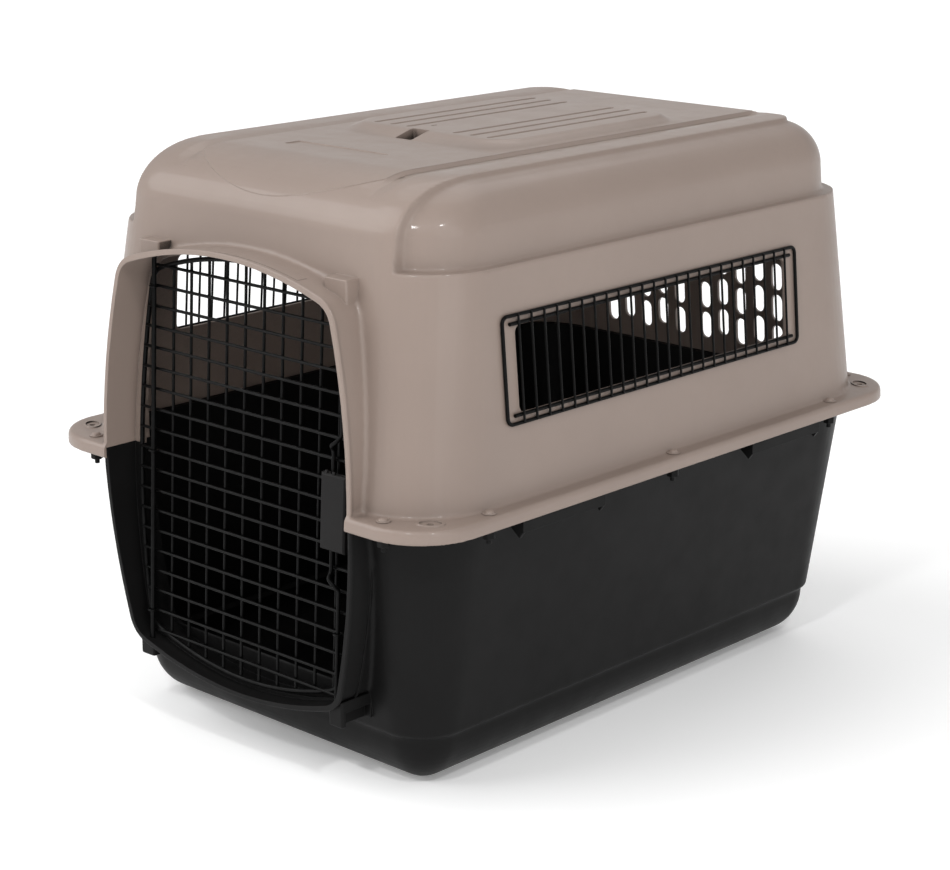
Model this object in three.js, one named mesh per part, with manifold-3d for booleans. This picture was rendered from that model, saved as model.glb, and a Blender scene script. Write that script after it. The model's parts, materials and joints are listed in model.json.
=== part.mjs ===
// Pet transport carrier: a two-piece moulded kennel with a wire door, side grilles and bolted shells.
// Millimetres. X is the width, the door looks along -Y, Z is up and the floor is at Z = 0.
import * as THREE from "three";
import { mergeVertices } from "three/addons/utils/BufferGeometryUtils.js";
import Module from "manifold-3d";

const wasm = await Module();
wasm.setup();

// ---- driving dimensions ----
const HALF_WIDTH = 334; // over the flange
const HALF_LENGTH = 464;
const FLANGE_CORNER = 79;
const FLANGE_FOOT = 334; // lower edge of the downturned skirt
const PLATE_FOOT = 342; // underside of the bottom shell's mating plate
const JOINT = 347; // underside of the top shell's flange plate
const FLANGE_TOP = 351;
const SKIRT_WALL = 4;
const WALL = 4;
const GAP = 0.4; // between neighbouring pieces

const BASE_ROUND = 62; // rounding between the floor and the tub wall
const STEP_HEIGHT = 67; // the tub wall steps out here
const BASE_INSET = 76.5;
const STEP_INSET = 70;
const TUB_INSET = 32;
const TUB_CORNER = 98;
const BASE_CORNER = 52;

const LEDGE_HEIGHT = 617; // the side panels are inset above this ledge
const PANEL_DEPTH = 12;
const PANEL_ROUND = 56; // rounding of the inset wall into the step below the roof
const ROOF_HALF = 222; // the front and the roof keep their full size inside this half width
const ROOF_REAR = 350; // and the roof ends here
const ROOF_CORNER = 30;
const RAIL_GROOVE = 160; // the roof's side rails lie outside this
const WALL_FOOT_INSET = 25;
const WALL_LEDGE_INSET = 48.6;
const WALL_SHOULDER_INSET = 51.5;
const SHOULDER_HEIGHT = 645;
const ROOF_ROUND = 66;
const ROOF_HEIGHT = SHOULDER_HEIGHT + ROOF_ROUND;
const PLATEAU_RISE = 9;
const FRONT_LEAN = 15; // how much further the front wall leans in than the other walls
const FRONT_ROUND = 35; // and how much longer its rounding into the roof is

const DOOR_MIDDLE = 347.5; // height of the middle of the door opening
const DOOR_TILT = THREE.MathUtils.degToRad(3); // the door's top leans back
const DOOR_DEPTH = -419; // Y of the door plane at DOOR_DATUM
const DOOR_DATUM = 398;
const WIRE_PITCH = 25.4;
const LOWEST_ROW = -11; // rows are counted from DOOR_DATUM
const HIGHEST_ROW = 7;
const COLUMN_PITCH = 32.1;
const COLUMNS = 10;
const FIRST_COLUMN = -132.6;
const WIRE_RADIUS = 1.9;
const FRAME_RADIUS = 2.9;
const CROSS_OFFSET = 1.75; // how far each layer of the grid sits from the frame's plane
const HINGE_X = -159;
const HINGE_OUT = 7; // hinge rod in front of the door plane
const LATCH_X = 169;
const LATCH_OUT = 6.6;
const LATCH_INNER_X = 156; // the rods run on this line inside the housing and step out to LATCH_X above it
const LATCH_ROD_RADIUS = 2.5;
const UPPER_ROD = { inner: 368, pull: 410, tip: 577 }; // heights along the door
const LOWER_ROD = { inner: 308, pull: 266, tip: 113 };
const HINGE_ROD = { radius: 3, foot: 95, head: 600 };

const HOOD_FRONT = -460;
const HOOD_WALL = 6;
const UPPER_SOCKET = { x: 160, halfX: 18, y0: -423, y1: -396, z0: 575, z1: 607, bore: [560, 601] };
const LOWER_SOCKET = { x: 164, halfX: 15, y0: -446, y1: -392, z0: 86, z1: 118, bore: [94, 130] };
const SOCKET_BORE = 3.7;
const BOLT_RADIUS = 3;
const BOLT_BORE = 3.4;

// ---- solids and geometry ----
function toSolid(geometry) {
  const plain = geometry.index ? geometry.toNonIndexed() : geometry.clone();
  plain.deleteAttribute("normal");
  plain.deleteAttribute("uv");
  const merged = mergeVertices(plain, 1e-4);
  return new wasm.Manifold(
    new wasm.Mesh({
      numProp: 3,
      vertProperties: new Float32Array(merged.attributes.position.array),
      triVerts: new Uint32Array(merged.index.array),
    }),
  );
}

function toGeometry(solid) {
  const mesh = solid.getMesh();
  const points = new Float32Array(mesh.numVert * 3);
  for (let i = 0; i < mesh.numVert; i++)
    points.set(mesh.vertProperties.subarray(i * mesh.numProp, i * mesh.numProp + 3), i * 3);
  const indexed = new THREE.BufferGeometry();
  indexed.setAttribute("position", new THREE.BufferAttribute(points, 3));
  indexed.setIndex(new THREE.BufferAttribute(mesh.triVerts, 1));
  const flat = indexed.toNonIndexed();
  flat.computeVertexNormals();
  return flat;
}

const union = (solids) => solids.reduce((whole, piece) => whole.add(piece));

// A box from its two opposite corners.
function box(low, high) {
  const [x0, y0, z0] = low;
  const [x1, y1, z1] = high;
  const geometry = new THREE.BoxGeometry(x1 - x0, y1 - y0, z1 - z0);
  return toSolid(geometry.translate((x0 + x1) / 2, (y0 + y1) / 2, (z0 + z1) / 2));
}

// An upright round post; a different top radius makes a cone.
function post(x, y, z0, z1, radius, sides = 12, topRadius = radius) {
  const geometry = new THREE.CylinderGeometry(topRadius, radius, z1 - z0, sides);
  geometry.rotateX(Math.PI / 2);
  return toSolid(geometry.translate(x, y, (z0 + z1) / 2));
}

// A flat outline drawn in X and Z, made solid from the front depth y0 to the back depth y1.
function slab(shape, y0, y1, curveSegments = 5) {
  const depth = y1 - y0;
  const geometry = new THREE.ExtrudeGeometry(shape, { depth, bevelEnabled: false, curveSegments });
  geometry.rotateX(Math.PI / 2);
  return toSolid(geometry.translate(0, y1, 0));
}

// A flat outline drawn in Y and Z, made solid across the width from x0 to x1.
function slabAcross(shape, x0, x1) {
  const depth = x1 - x0;
  const geometry = new THREE.ExtrudeGeometry(shape, { depth, bevelEnabled: false, curveSegments: 8 });
  geometry.rotateX(Math.PI / 2).rotateZ(Math.PI / 2);
  return toSolid(geometry.translate(x0, 0, 0));
}

// A flat outline drawn in X and Y, made solid from z0 up to z1.
function plate(shape, z0, z1, curveSegments = 6) {
  const depth = z1 - z0;
  const geometry = new THREE.ExtrudeGeometry(shape, { depth, bevelEnabled: false, curveSegments });
  return toSolid(geometry.translate(0, 0, z0));
}

// A solid skinned over a stack of convex rings that all have the same number of points.
function loft(rings) {
  const count = rings[0].length;
  const points = rings.flat().flatMap((p) => [p.x, p.y, p.z]);
  const faces = [];
  for (let i = 1; i + 1 < count; i++) faces.push(0, i + 1, i);
  for (let r = 0; r + 1 < rings.length; r++)
    for (let i = 0; i < count; i++) {
      const a = r * count + i;
      const b = r * count + ((i + 1) % count);
      faces.push(a, b, b + count, a, b + count, a + count);
    }
  const last = (rings.length - 1) * count;
  for (let i = 1; i + 1 < count; i++) faces.push(last, last + i, last + i + 1);
  const geometry = new THREE.BufferGeometry();
  geometry.setAttribute("position", new THREE.Float32BufferAttribute(points, 3));
  geometry.setIndex(faces);
  return toSolid(geometry);
}

// One level ring: a rectangle with rounded corners, counter-clockwise seen from above.
function ring(height, halfX, halfY, corner, steps = 6) {
  const points = [];
  for (let quarter = 0; quarter < 4; quarter++)
    for (let i = 0; i <= steps; i++) {
      const angle = (quarter + i / steps) * (Math.PI / 2);
      const sideX = quarter === 0 || quarter === 3 ? 1 : -1;
      const sideY = quarter < 2 ? 1 : -1;
      points.push(
        new THREE.Vector3(
          sideX * (halfX - corner) + corner * Math.cos(angle),
          sideY * (halfY - corner) + corner * Math.sin(angle),
          height,
        ),
      );
    }
  return points;
}

// A ring of the carrier's wall, set in from the flange's outline.
// The front face may be drawn in further than the other three by "frontExtra".
const insetRing = (height, inset, corner, frontExtra = 0) =>
  ring(height, HALF_WIDTH - inset, HALF_LENGTH - inset - frontExtra / 2, corner).map((p) =>
    p.add(new THREE.Vector3(0, frontExtra / 2, 0)),
  );

const AXES = [new THREE.Vector3(0, 1, 0), new THREE.Vector3(1, 0, 0), new THREE.Vector3(0, 0, 1)];

// A round wire along a line of points, closed into a loop or with flat ends.
function wire(points, radius, { closed = false, sides = 6 } = {}) {
  const count = points.length;
  const tangents = points.map((p, i) => {
    const before = closed ? points[(i + count - 1) % count] : points[Math.max(i - 1, 0)];
    const after = closed ? points[(i + 1) % count] : points[Math.min(i + 1, count - 1)];
    const incoming = i > 0 || closed ? p.clone().sub(before).normalize() : after.clone().sub(p).normalize();
    const outgoing = i + 1 < count || closed ? after.clone().sub(p).normalize() : incoming.clone();
    return { along: incoming.clone().add(outgoing).normalize(), bend: incoming.dot(outgoing) };
  });
  // The section starts from the axis that stays furthest from the wire's own direction.
  const nearest = (axis) => Math.max(...tangents.map(({ along }) => Math.abs(along.dot(axis))));
  const up = AXES.reduce((best, axis) => (nearest(axis) < nearest(best) - 0.001 ? axis : best));
  const across = tangents.map(({ along }) => up.clone().addScaledVector(along, -up.dot(along)).normalize());
  const positions = [];
  points.forEach((p, i) => {
    const { along, bend } = tangents[i];
    const side = new THREE.Vector3().crossVectors(along, across[i]);
    const stretch = Math.min(1 / Math.sqrt((1 + bend) / 2), 1.5);
    for (let k = 0; k < sides; k++) {
      const angle = ((k + 0.5) / sides) * Math.PI * 2;
      const q = p
        .clone()
        .addScaledVector(across[i], radius * Math.cos(angle))
        .addScaledVector(side, radius * stretch * Math.sin(angle));
      positions.push(q.x, q.y, q.z);
    }
  });
  const faces = [];
  const spans = closed ? count : count - 1;
  for (let i = 0; i < spans; i++)
    for (let k = 0; k < sides; k++) {
      const a = i * sides + k;
      const b = i * sides + ((k + 1) % sides);
      const c = ((i + 1) % count) * sides + k;
      const d = ((i + 1) % count) * sides + ((k + 1) % sides);
      faces.push(a, b, d, a, d, c);
    }
  if (!closed)
    for (let k = 1; k + 1 < sides; k++) {
      const last = (count - 1) * sides;
      faces.push(0, k + 1, k, last, last + k, last + k + 1);
    }
  const geometry = new THREE.BufferGeometry();
  geometry.setAttribute("position", new THREE.Float32BufferAttribute(positions, 3));
  geometry.setIndex(faces);
  const solid = toSolid(geometry);
  return solid.volume() < 0 ? turnedInsideOut(geometry) : solid;
}

function turnedInsideOut(geometry) {
  const faces = Array.from(geometry.index.array);
  for (let i = 0; i < faces.length; i += 3) [faces[i + 1], faces[i + 2]] = [faces[i + 2], faces[i + 1]];
  geometry.setIndex(faces);
  return toSolid(geometry);
}

// ---- the barrel outline shared by the hood, the opening and the door frame ----
const HOOD = { halfWidth: 217, halfHeight: 269.5, sideBulge: 33, endBulge: 32, corner: 22 };
const OPENING = { halfWidth: 194, halfHeight: 258, sideBulge: 21.5, endBulge: 27, corner: 18 };
const FRAME = { halfWidth: 189, halfHeight: 252.5, sideBulge: 21, endBulge: 32, corner: 16 };

const shrunk = (barrel, by) => ({
  ...barrel,
  halfWidth: barrel.halfWidth - by,
  halfHeight: barrel.halfHeight - by,
  corner: Math.max(barrel.corner - by, 4),
});

// Half the barrel's width at a height above its middle, and half its height at a distance from its middle.
function barrelHalfWidth(barrel, height) {
  const reach = barrel.halfHeight - barrel.endBulge;
  return barrel.halfWidth - barrel.sideBulge * (height / reach) ** 2;
}

function barrelHalfHeight(barrel, across) {
  const reach = barrel.halfWidth - barrel.sideBulge;
  return barrel.halfHeight - barrel.endBulge * (across / reach) ** 2;
}

// The outline itself, its middle at the given height.
function barrelShape(barrel, middle = DOOR_MIDDLE) {
  const shape = new THREE.Shape();
  const sideEnd = barrel.halfHeight - barrel.endBulge - barrel.corner;
  const topEnd = barrel.halfWidth - barrel.sideBulge - barrel.corner;
  const sideX = barrelHalfWidth(barrel, sideEnd);
  const topZ = barrelHalfHeight(barrel, topEnd);
  const cornerX = barrel.halfWidth - barrel.sideBulge;
  const cornerZ = barrel.halfHeight - barrel.endBulge;
  shape.moveTo(sideX, middle - sideEnd);
  shape.quadraticCurveTo(2 * barrel.halfWidth - sideX, middle, sideX, middle + sideEnd);
  shape.quadraticCurveTo(cornerX, middle + cornerZ, topEnd, middle + topZ);
  shape.quadraticCurveTo(0, middle + 2 * barrel.halfHeight - topZ, -topEnd, middle + topZ);
  shape.quadraticCurveTo(-cornerX, middle + cornerZ, -sideX, middle + sideEnd);
  shape.quadraticCurveTo(-2 * barrel.halfWidth + sideX, middle, -sideX, middle - sideEnd);
  shape.quadraticCurveTo(-cornerX, middle - cornerZ, -topEnd, middle - topZ);
  shape.quadraticCurveTo(0, middle - 2 * barrel.halfHeight + topZ, topEnd, middle - topZ);
  shape.quadraticCurveTo(cornerX, middle - cornerZ, sideX, middle - sideEnd);
  return shape;
}

// Moves a solid drawn upright about the door plane (Y = 0) into the leaning door plane.
function intoDoorPlane(solid) {
  const place = new THREE.Matrix4()
    .makeTranslation(0, DOOR_DEPTH, DOOR_DATUM)
    .multiply(new THREE.Matrix4().makeRotationX(-DOOR_TILT))
    .multiply(new THREE.Matrix4().makeTranslation(0, 0, -DOOR_DATUM));
  return solid.transform(place.elements);
}

// ---- shared cutters ----
// A rounded slot outline standing in the outline's second direction.
function slotShape(x, z, width, height) {
  const radius = width / 2;
  const straight = height / 2 - radius;
  const shape = new THREE.Shape();
  shape.absarc(x, z + straight, radius, 0, Math.PI);
  shape.absarc(x, z - straight, radius, Math.PI, 2 * Math.PI);
  return shape;
}

// ---- flange fasteners ----
const BOLTS = [
  ["front", "left", -252, -443],
  ["front", "right", 252, -443],
  ["rear", "left", -252, 443],
  ["rear", "right", 252, 443],
  ...[
    ["side_front", -343],
    ["side_middle", -15],
    ["side_rear", 313],
  ].flatMap(([name, y]) => [
    [name, "left", -318, y],
    [name, "right", 318, y],
  ]),
].map(([name, side, x, y]) => ({ name: name + "_" + side, x, y }));
const TIE_HOLES = [-1, 1].flatMap((sideX) => [-1, 1].map((sideY) => [sideX * 296, sideY * 414]));

const boltBores = () => BOLTS.map(({ x, y }) => post(x, y, FLANGE_FOOT - 20, FLANGE_TOP + 10, BOLT_BORE, 10));
const tieHoles = () => TIE_HOLES.map(([x, y]) => post(x, y, FLANGE_FOOT - 20, FLANGE_TOP + 10, 4, 10));

// ---- hood: the projecting surround of the door ----
// Its tube is a little smaller than the bead round its front edge.
const BEAD = 2.5;
const hoodTube = (front, back) => slab(barrelShape(shrunk(HOOD, BEAD)), front, back);
const hoodBead = (front) => slab(barrelShape(HOOD), front, front + 16);
const hoodTunnel = (front, back) => slab(barrelShape(shrunk(HOOD, HOOD_WALL)), front, back);

// What the leaning front edge of the hood loses: nothing at the flange, more towards the foot or the top.
function hoodLean(front, startHeight, endHeight, lost) {
  const shape = new THREE.Shape();
  shape.moveTo(front - 30, startHeight);
  shape.lineTo(front, startHeight);
  shape.lineTo(front + lost, endHeight);
  shape.lineTo(front - 30, endHeight);
  return slabAcross(shape, -300, 300);
}

// The plate round the opening that the door closes against, leaning with the door.
function landing() {
  const outer = slab(barrelShape(shrunk(HOOD, 2)), 7, 11);
  const inner = slab(barrelShape(OPENING), 0, 20);
  return intoDoorPlane(outer.subtract(inner));
}

// Small blocks on the hood that hold the ends of the hinge rod and of the latch rods.
const socketBlocks = ({ x, halfX, y0, y1, z0, z1 }) =>
  [-x, x].map((middle) => box([middle - halfX, y0, z0], [middle + halfX, y1, z1]));

const socketBores = ({ bore: [foot, head] }) =>
  [
    [HINGE_X, HINGE_OUT],
    [LATCH_X, LATCH_OUT],
  ].map(([x, out]) => intoDoorPlane(post(x, -out, foot, head, SOCKET_BORE)));

// ---- bottom shell ----
function tub(shell) {
  const rings = [];
  const rounding = BASE_ROUND - shell;
  for (let i = 0; i <= 6; i++) {
    const angle = ((i / 6) * Math.PI) / 2;
    const pulled = rounding * (1 - Math.sin(angle));
    rings.push(
      insetRing(
        shell + rounding * (1 - Math.cos(angle)),
        BASE_INSET + shell + pulled,
        Math.max(BASE_CORNER - shell - pulled, 3),
      ),
    );
  }
  rings.push(insetRing(STEP_HEIGHT, BASE_INSET + shell, BASE_CORNER - shell));
  rings.push(insetRing(STEP_HEIGHT + 4, STEP_INSET + shell, BASE_CORNER + 6 - shell));
  rings.push(insetRing(JOINT - GAP + (shell ? 10 : 0), TUB_INSET + shell, TUB_CORNER - shell));
  return loft(rings);
}

// Hanging lips under the side flanges, each closed by a gusset at both ends.
const GRIP = {
  middle: 326, // of the lip's thickness
  thick: 4,
  foot: 319,
  inside: 293,
  spans: [
    [-297, -153],
    [133, 277],
  ],
};

function gripLips() {
  const lips = [];
  const { middle, thick, foot, inside, spans } = GRIP;
  const head = PLATE_FOOT + 1;
  const outside = middle + thick / 2;
  for (const side of [-1, 1])
    for (const [y0, y1] of spans) {
      const x = side * middle;
      lips.push(box([x - thick / 2, y0, foot], [x + thick / 2, y1, head]));
      const gusset = new THREE.Shape();
      gusset.moveTo(side * (inside + 3), head);
      gusset.lineTo(side * (outside - 1), head);
      gusset.lineTo(side * (outside - 1), foot);
      gusset.lineTo(side * (outside - 6), foot - 7);
      gusset.lineTo(side * inside, head - 8);
      for (const y of [y0, y1 - thick]) lips.push(slab(gusset, y, y + thick));
    }
  return lips;
}

function bottomShell() {
  const joint = JOINT - GAP;
  const flange = loft([
    ring(PLATE_FOOT, HALF_WIDTH - 5, HALF_LENGTH - 5, FLANGE_CORNER - 5),
    ring(joint, HALF_WIDTH - 5, HALF_LENGTH - 5, FLANGE_CORNER - 5),
  ]);
  const front = HOOD_FRONT + SKIRT_WALL / 2 - GAP - 1;
  const belowJoint = box([-400, -520, 0], [400, 500, joint]);
  const bead = hoodBead(front).intersect(box([-400, -500, 0], [400, 500, FLANGE_FOOT - GAP]));
  const lean = hoodLean(front, FLANGE_FOOT, DOOR_MIDDLE - 280, 10);
  const doorPlate = landing().intersect(belowJoint);
  const tube = hoodTube(front, -388).intersect(belowJoint);
  const outside = union([tub(0), flange, tube, bead, ...socketBlocks(LOWER_SOCKET)]);
  const hollow = union([outside, ...gripLips()]).subtract(tub(WALL)).subtract(hoodTunnel(-500, -396));
  const liner = hoodTube(-430, -388).subtract(hoodTunnel(-500, -300)).intersect(belowJoint);
  const lined = hollow.add(liner).add(doorPlate);
  return lined.subtract(union([lean, ...boltBores(), ...tieHoles(), ...socketBores(LOWER_SOCKET)]));
}

// ---- top shell ----
const ROOF_STEPS = 6;

function canopy(shell) {
  const rings = [];
  rings.push(insetRing(JOINT - (shell ? 10 : 0), WALL_FOOT_INSET + shell, 100 - shell));
  rings.push(insetRing(LEDGE_HEIGHT, WALL_LEDGE_INSET + shell, 97 - shell, FRONT_LEAN - 1.5));
  rings.push(insetRing(SHOULDER_HEIGHT, WALL_SHOULDER_INSET + shell, 96 - shell, FRONT_LEAN));
  const rounding = ROOF_ROUND - shell;
  for (let i = 1; i <= ROOF_STEPS; i++) {
    const angle = ((i / ROOF_STEPS) * Math.PI) / 2;
    const pulled = rounding * (1 - Math.cos(angle));
    rings.push(
      insetRing(
        SHOULDER_HEIGHT + rounding * Math.sin(angle),
        WALL_SHOULDER_INSET + shell + pulled,
        96 - shell - pulled,
        FRONT_LEAN + FRONT_ROUND * (1 - Math.cos(angle)),
      ),
    );
  }
  return loft(rings);
}

// The same canopy drawn in by the depth of the side panels, up to the panels' top edge.
function insetCanopy(extra) {
  const inset = PANEL_DEPTH + extra;
  const rings = [
    insetRing(LEDGE_HEIGHT - 8, WALL_LEDGE_INSET + inset, 90 - extra, FRONT_LEAN),
    insetRing(SHOULDER_HEIGHT + 4, WALL_SHOULDER_INSET + inset, 88 - extra, FRONT_LEAN),
  ];
  const rounding = PANEL_ROUND - extra;
  for (let i = 1; i <= ROOF_STEPS; i++) {
    const angle = ((i / ROOF_STEPS) * Math.PI) / 2;
    const pulled = rounding * (1 - Math.cos(angle));
    rings.push(
      insetRing(
        SHOULDER_HEIGHT + 4 + rounding * Math.sin(angle),
        WALL_SHOULDER_INSET + inset + pulled,
        88 - extra - pulled,
        FRONT_LEAN + FRONT_ROUND * (1 - Math.cos(angle)),
      ),
    );
  }
  return loft(rings);
}

// Everything outside the inset walls, from the ledge up, except across the front and over the roof.
function panelCutter(extra) {
  const top = ROOF_HEIGHT + 20;
  const band = box([-400, -500, LEDGE_HEIGHT - extra], [400, 500, top]);
  const half = ROOF_HALF - extra;
  const rear = ROOF_REAR - extra;
  const front = box([-half, -520, LEDGE_HEIGHT - 50], [half, -250, top + 10]);
  const roof = new THREE.Shape();
  roof.moveTo(half, -300);
  roof.lineTo(half, rear - ROOF_CORNER);
  roof.absarc(half - ROOF_CORNER, rear - ROOF_CORNER, ROOF_CORNER, 0, Math.PI / 2);
  roof.absarc(ROOF_CORNER - half, rear - ROOF_CORNER, ROOF_CORNER, Math.PI / 2, Math.PI);
  roof.lineTo(-half, -300);
  const kept = front.add(plate(roof, SHOULDER_HEIGHT + 20, top + 10));
  return band.subtract(insetCanopy(extra)).subtract(kept);
}

// The plateau's top and foot outlines; its front slope is the longest.
const PLATEAU_TOP = { halfX: 128, front: -115, back: 210, corner: 40 };
const PLATEAU_FOOT = { halfX: 142, front: -148, back: 226, corner: 52 };

function plateau(shell) {
  const level = (height, { halfX, front, back, corner }) =>
    ring(height, halfX - shell, (back - front) / 2 - shell, corner - shell, 4).map((p) =>
      p.add(new THREE.Vector3(0, (front + back) / 2, 0)),
    );
  return loft([
    level(ROOF_HEIGHT - WALL - 6, PLATEAU_FOOT),
    level(ROOF_HEIGHT - shell, PLATEAU_FOOT),
    level(ROOF_HEIGHT + PLATEAU_RISE - shell, PLATEAU_TOP),
  ]);
}

const GROOVE = { first: 40, pitch: 28, width: 8, y0: -106, y1: 196, depth: 2.2 };

function plateauGrooves() {
  const { first, pitch, width, y0, y1, depth } = GROOVE;
  const crest = ROOF_HEIGHT + PLATEAU_RISE;
  return [-1, 1].flatMap((side) =>
    [0, 1, 2].map((i) => {
      const outline = slotShape(side * (first + i * pitch), (y0 + y1) / 2, width, y1 - y0);
      return plate(outline, crest - depth, crest + 5, 3);
    }),
  );
}

// The valley between the roof and each side rail: steep on the roof's side, gentle on the rail's.
function railGrooves() {
  return [-1, 1].map((side) => {
    const valley = new THREE.Shape();
    valley.moveTo(side * (RAIL_GROOVE - 5), ROOF_HEIGHT + 0.5);
    valley.lineTo(side * RAIL_GROOVE, ROOF_HEIGHT - 3.6);
    valley.lineTo(side * (RAIL_GROOVE + 22), ROOF_HEIGHT + 0.5);
    return slab(valley, -330, 360);
  });
}

// The pocket for a finger or a handle strap, sunk into the plateau's front slope.
const POCKET = { x: -9, y: -127, width: 28, length: 34, floor: ROOF_HEIGHT - 9, wall: 3 };

function pocketBlock(grow, foot, head) {
  const { x, y, width, length } = POCKET;
  const halfX = width / 2 + grow;
  const halfY = length / 2 + grow;
  return box([x - halfX, y - halfY, foot], [x + halfX, y + halfY, head]);
}

const handlePocket = () => pocketBlock(0, POCKET.floor, ROOF_HEIGHT + PLATEAU_RISE + 5);

// The pocket's own walls and floor, kept just inside the outer surface.
function handlePocketWall() {
  const block = pocketBlock(POCKET.wall, POCKET.floor - POCKET.wall, ROOF_HEIGHT + PLATEAU_RISE);
  return block.intersect(canopy(0.3).add(plateau(0.3)));
}

const WINDOW = { y0: -273, y1: 236, z0: 449, z1: 549 };

function windowCutters() {
  const { y0, y1, z0, z1 } = WINDOW;
  const middleY = (y0 + y1) / 2;
  const rounded = ring(0, (z1 - z0) / 2, (y1 - y0) / 2, 10, 3);
  const outline = new THREE.Shape(rounded.map((p) => new THREE.Vector2(p.x, p.y)));
  return [-1, 1].map((side) => {
    const geometry = new THREE.ExtrudeGeometry(outline, { depth: 80, bevelEnabled: false });
    geometry.rotateY(Math.PI / 2);
    geometry.translate(side * 300 - 40, middleY, (z0 + z1) / 2);
    return toSolid(geometry);
  });
}

const REAR_SLOT = { width: 18, height: 38, pitchX: 31, pitchZ: 44, stagger: 9, columns: 5, rows: 4 };

function rearSlotCutters() {
  const cutters = [];
  const { width, height, pitchX, pitchZ, stagger, columns, rows } = REAR_SLOT;
  for (const side of [-1, 1])
    for (let column = 0; column < columns; column++)
      for (let row = 0; row < rows; row++) {
        const x = side * (23 + column * pitchX);
        const z = 386 + row * pitchZ + (column % 2) * stagger;
        cutters.push(slab(slotShape(x, z, width, height), 395, 450, 3));
      }
  return cutters;
}

function topFlange() {
  const outer = loft([
    ring(FLANGE_FOOT, HALF_WIDTH, HALF_LENGTH, FLANGE_CORNER),
    ring(FLANGE_TOP - 3.5, HALF_WIDTH - 1, HALF_LENGTH - 1, FLANGE_CORNER - 1),
    ring(FLANGE_TOP, HALF_WIDTH - 4, HALF_LENGTH - 4, FLANGE_CORNER - 4),
  ]);
  const under = loft([
    ring(FLANGE_FOOT - 10, HALF_WIDTH - SKIRT_WALL, HALF_LENGTH - SKIRT_WALL, FLANGE_CORNER - SKIRT_WALL),
    ring(JOINT, HALF_WIDTH - SKIRT_WALL, HALF_LENGTH - SKIRT_WALL, FLANGE_CORNER - SKIRT_WALL),
  ]);
  return outer.subtract(under);
}

function tieHoleRims() {
  return TIE_HOLES.map(([x, y]) => {
    const geometry = new THREE.CylinderGeometry(8, 9.5, 6, 14).scale(1.5, 1, 0.9).rotateX(Math.PI / 2);
    geometry.rotateZ(Math.sign(x * y) * -0.6).translate(x, y, FLANGE_TOP);
    return toSolid(geometry);
  });
}

function topShell() {
  const aboveJoint = box([-400, -520, JOINT], [400, 520, 800]);
  const hood = hoodTube(HOOD_FRONT, -392).intersect(aboveJoint);
  const bead = hoodBead(HOOD_FRONT).intersect(aboveJoint);
  const lean = hoodLean(HOOD_FRONT, FLANGE_TOP, DOOR_MIDDLE + 280, 9);
  const skin = union([
    canopy(0).subtract(panelCutter(0)),
    plateau(0),
    topFlange(),
    hood,
    bead,
    ...socketBlocks(UPPER_SOCKET),
  ]);
  // The hollow follows the inset panels, one wall further in.
  const hollow = canopy(WALL).subtract(panelCutter(WALL)).add(plateau(WALL));
  const open = skin.subtract(hollow).subtract(hoodTunnel(-520, -396)).subtract(lean);
  const liner = hoodTube(-440, -392).subtract(hoodTunnel(-500, -300)).intersect(aboveJoint);
  const pocketed = open
    .add(liner)
    .add(landing().intersect(aboveJoint))
    .add(handlePocketWall())
    .add(union(tieHoleRims()));
  const cutters = [
    handlePocket(),
    ...plateauGrooves(),
    ...railGrooves(),
    ...windowCutters(),
    ...rearSlotCutters(),
    ...boltBores(),
    ...tieHoles(),
    ...socketBores(UPPER_SOCKET),
  ];
  return pocketed.subtract(union(cutters));
}

// ---- door ----
const framePoints = () => {
  const outline = barrelShape(FRAME).getPoints(5);
  outline.pop();
  return outline.map((p) => new THREE.Vector3(p.x, 0, p.y));
};

function doorWires() {
  const wires = [];
  for (let row = LOWEST_ROW; row <= HIGHEST_ROW; row++) {
    const z = DOOR_DATUM + row * WIRE_PITCH;
    const half = barrelHalfWidth(FRAME, z - DOOR_MIDDLE);
    const y = -CROSS_OFFSET;
    wires.push(wire([new THREE.Vector3(-half, y, z), new THREE.Vector3(half, y, z)], WIRE_RADIUS));
  }
  for (let column = 0; column < COLUMNS; column++) {
    const x = FIRST_COLUMN + column * COLUMN_PITCH;
    const half = barrelHalfHeight(FRAME, x);
    const ends = [DOOR_MIDDLE - half, DOOR_MIDDLE + half].map((z) => new THREE.Vector3(x, CROSS_OFFSET, z));
    wires.push(wire(ends, WIRE_RADIUS));
  }
  return wires;
}

// Bent guides welded to the grid that keep a rod beside the door, at the heights of two wires.
function rodGuide(x, out, rodRadius, row) {
  const z = DOOR_DATUM + row * WIRE_PITCH;
  const reach = rodRadius + 1.7;
  const points = [
    [x - reach, -CROSS_OFFSET],
    [x - reach, -out - 1],
    [x - reach * 0.4, -out - reach],
    [x + reach * 0.4, -out - reach],
    [x + reach, -out - 1],
    [x + reach, -CROSS_OFFSET],
  ].map(([px, py]) => new THREE.Vector3(px, py, z));
  return wire(points, 1.3);
}

function doorPanel() {
  const frame = wire(framePoints(), FRAME_RADIUS, { closed: true });
  const guides = [
    ...[6, -2, -10].map((row) => rodGuide(HINGE_X, HINGE_OUT, HINGE_ROD.radius, row)),
    ...[5, -8].map((row) => rodGuide(LATCH_X, LATCH_OUT, LATCH_ROD_RADIUS, row)),
  ];
  return intoDoorPlane(union([frame, ...doorWires(), ...guides]));
}

function hingeRod() {
  const { radius, foot, head } = HINGE_ROD;
  const ends = [foot, head].map((z) => new THREE.Vector3(HINGE_X, -HINGE_OUT, z));
  return intoDoorPlane(wire(ends, radius, { sides: 10 }));
}

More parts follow.
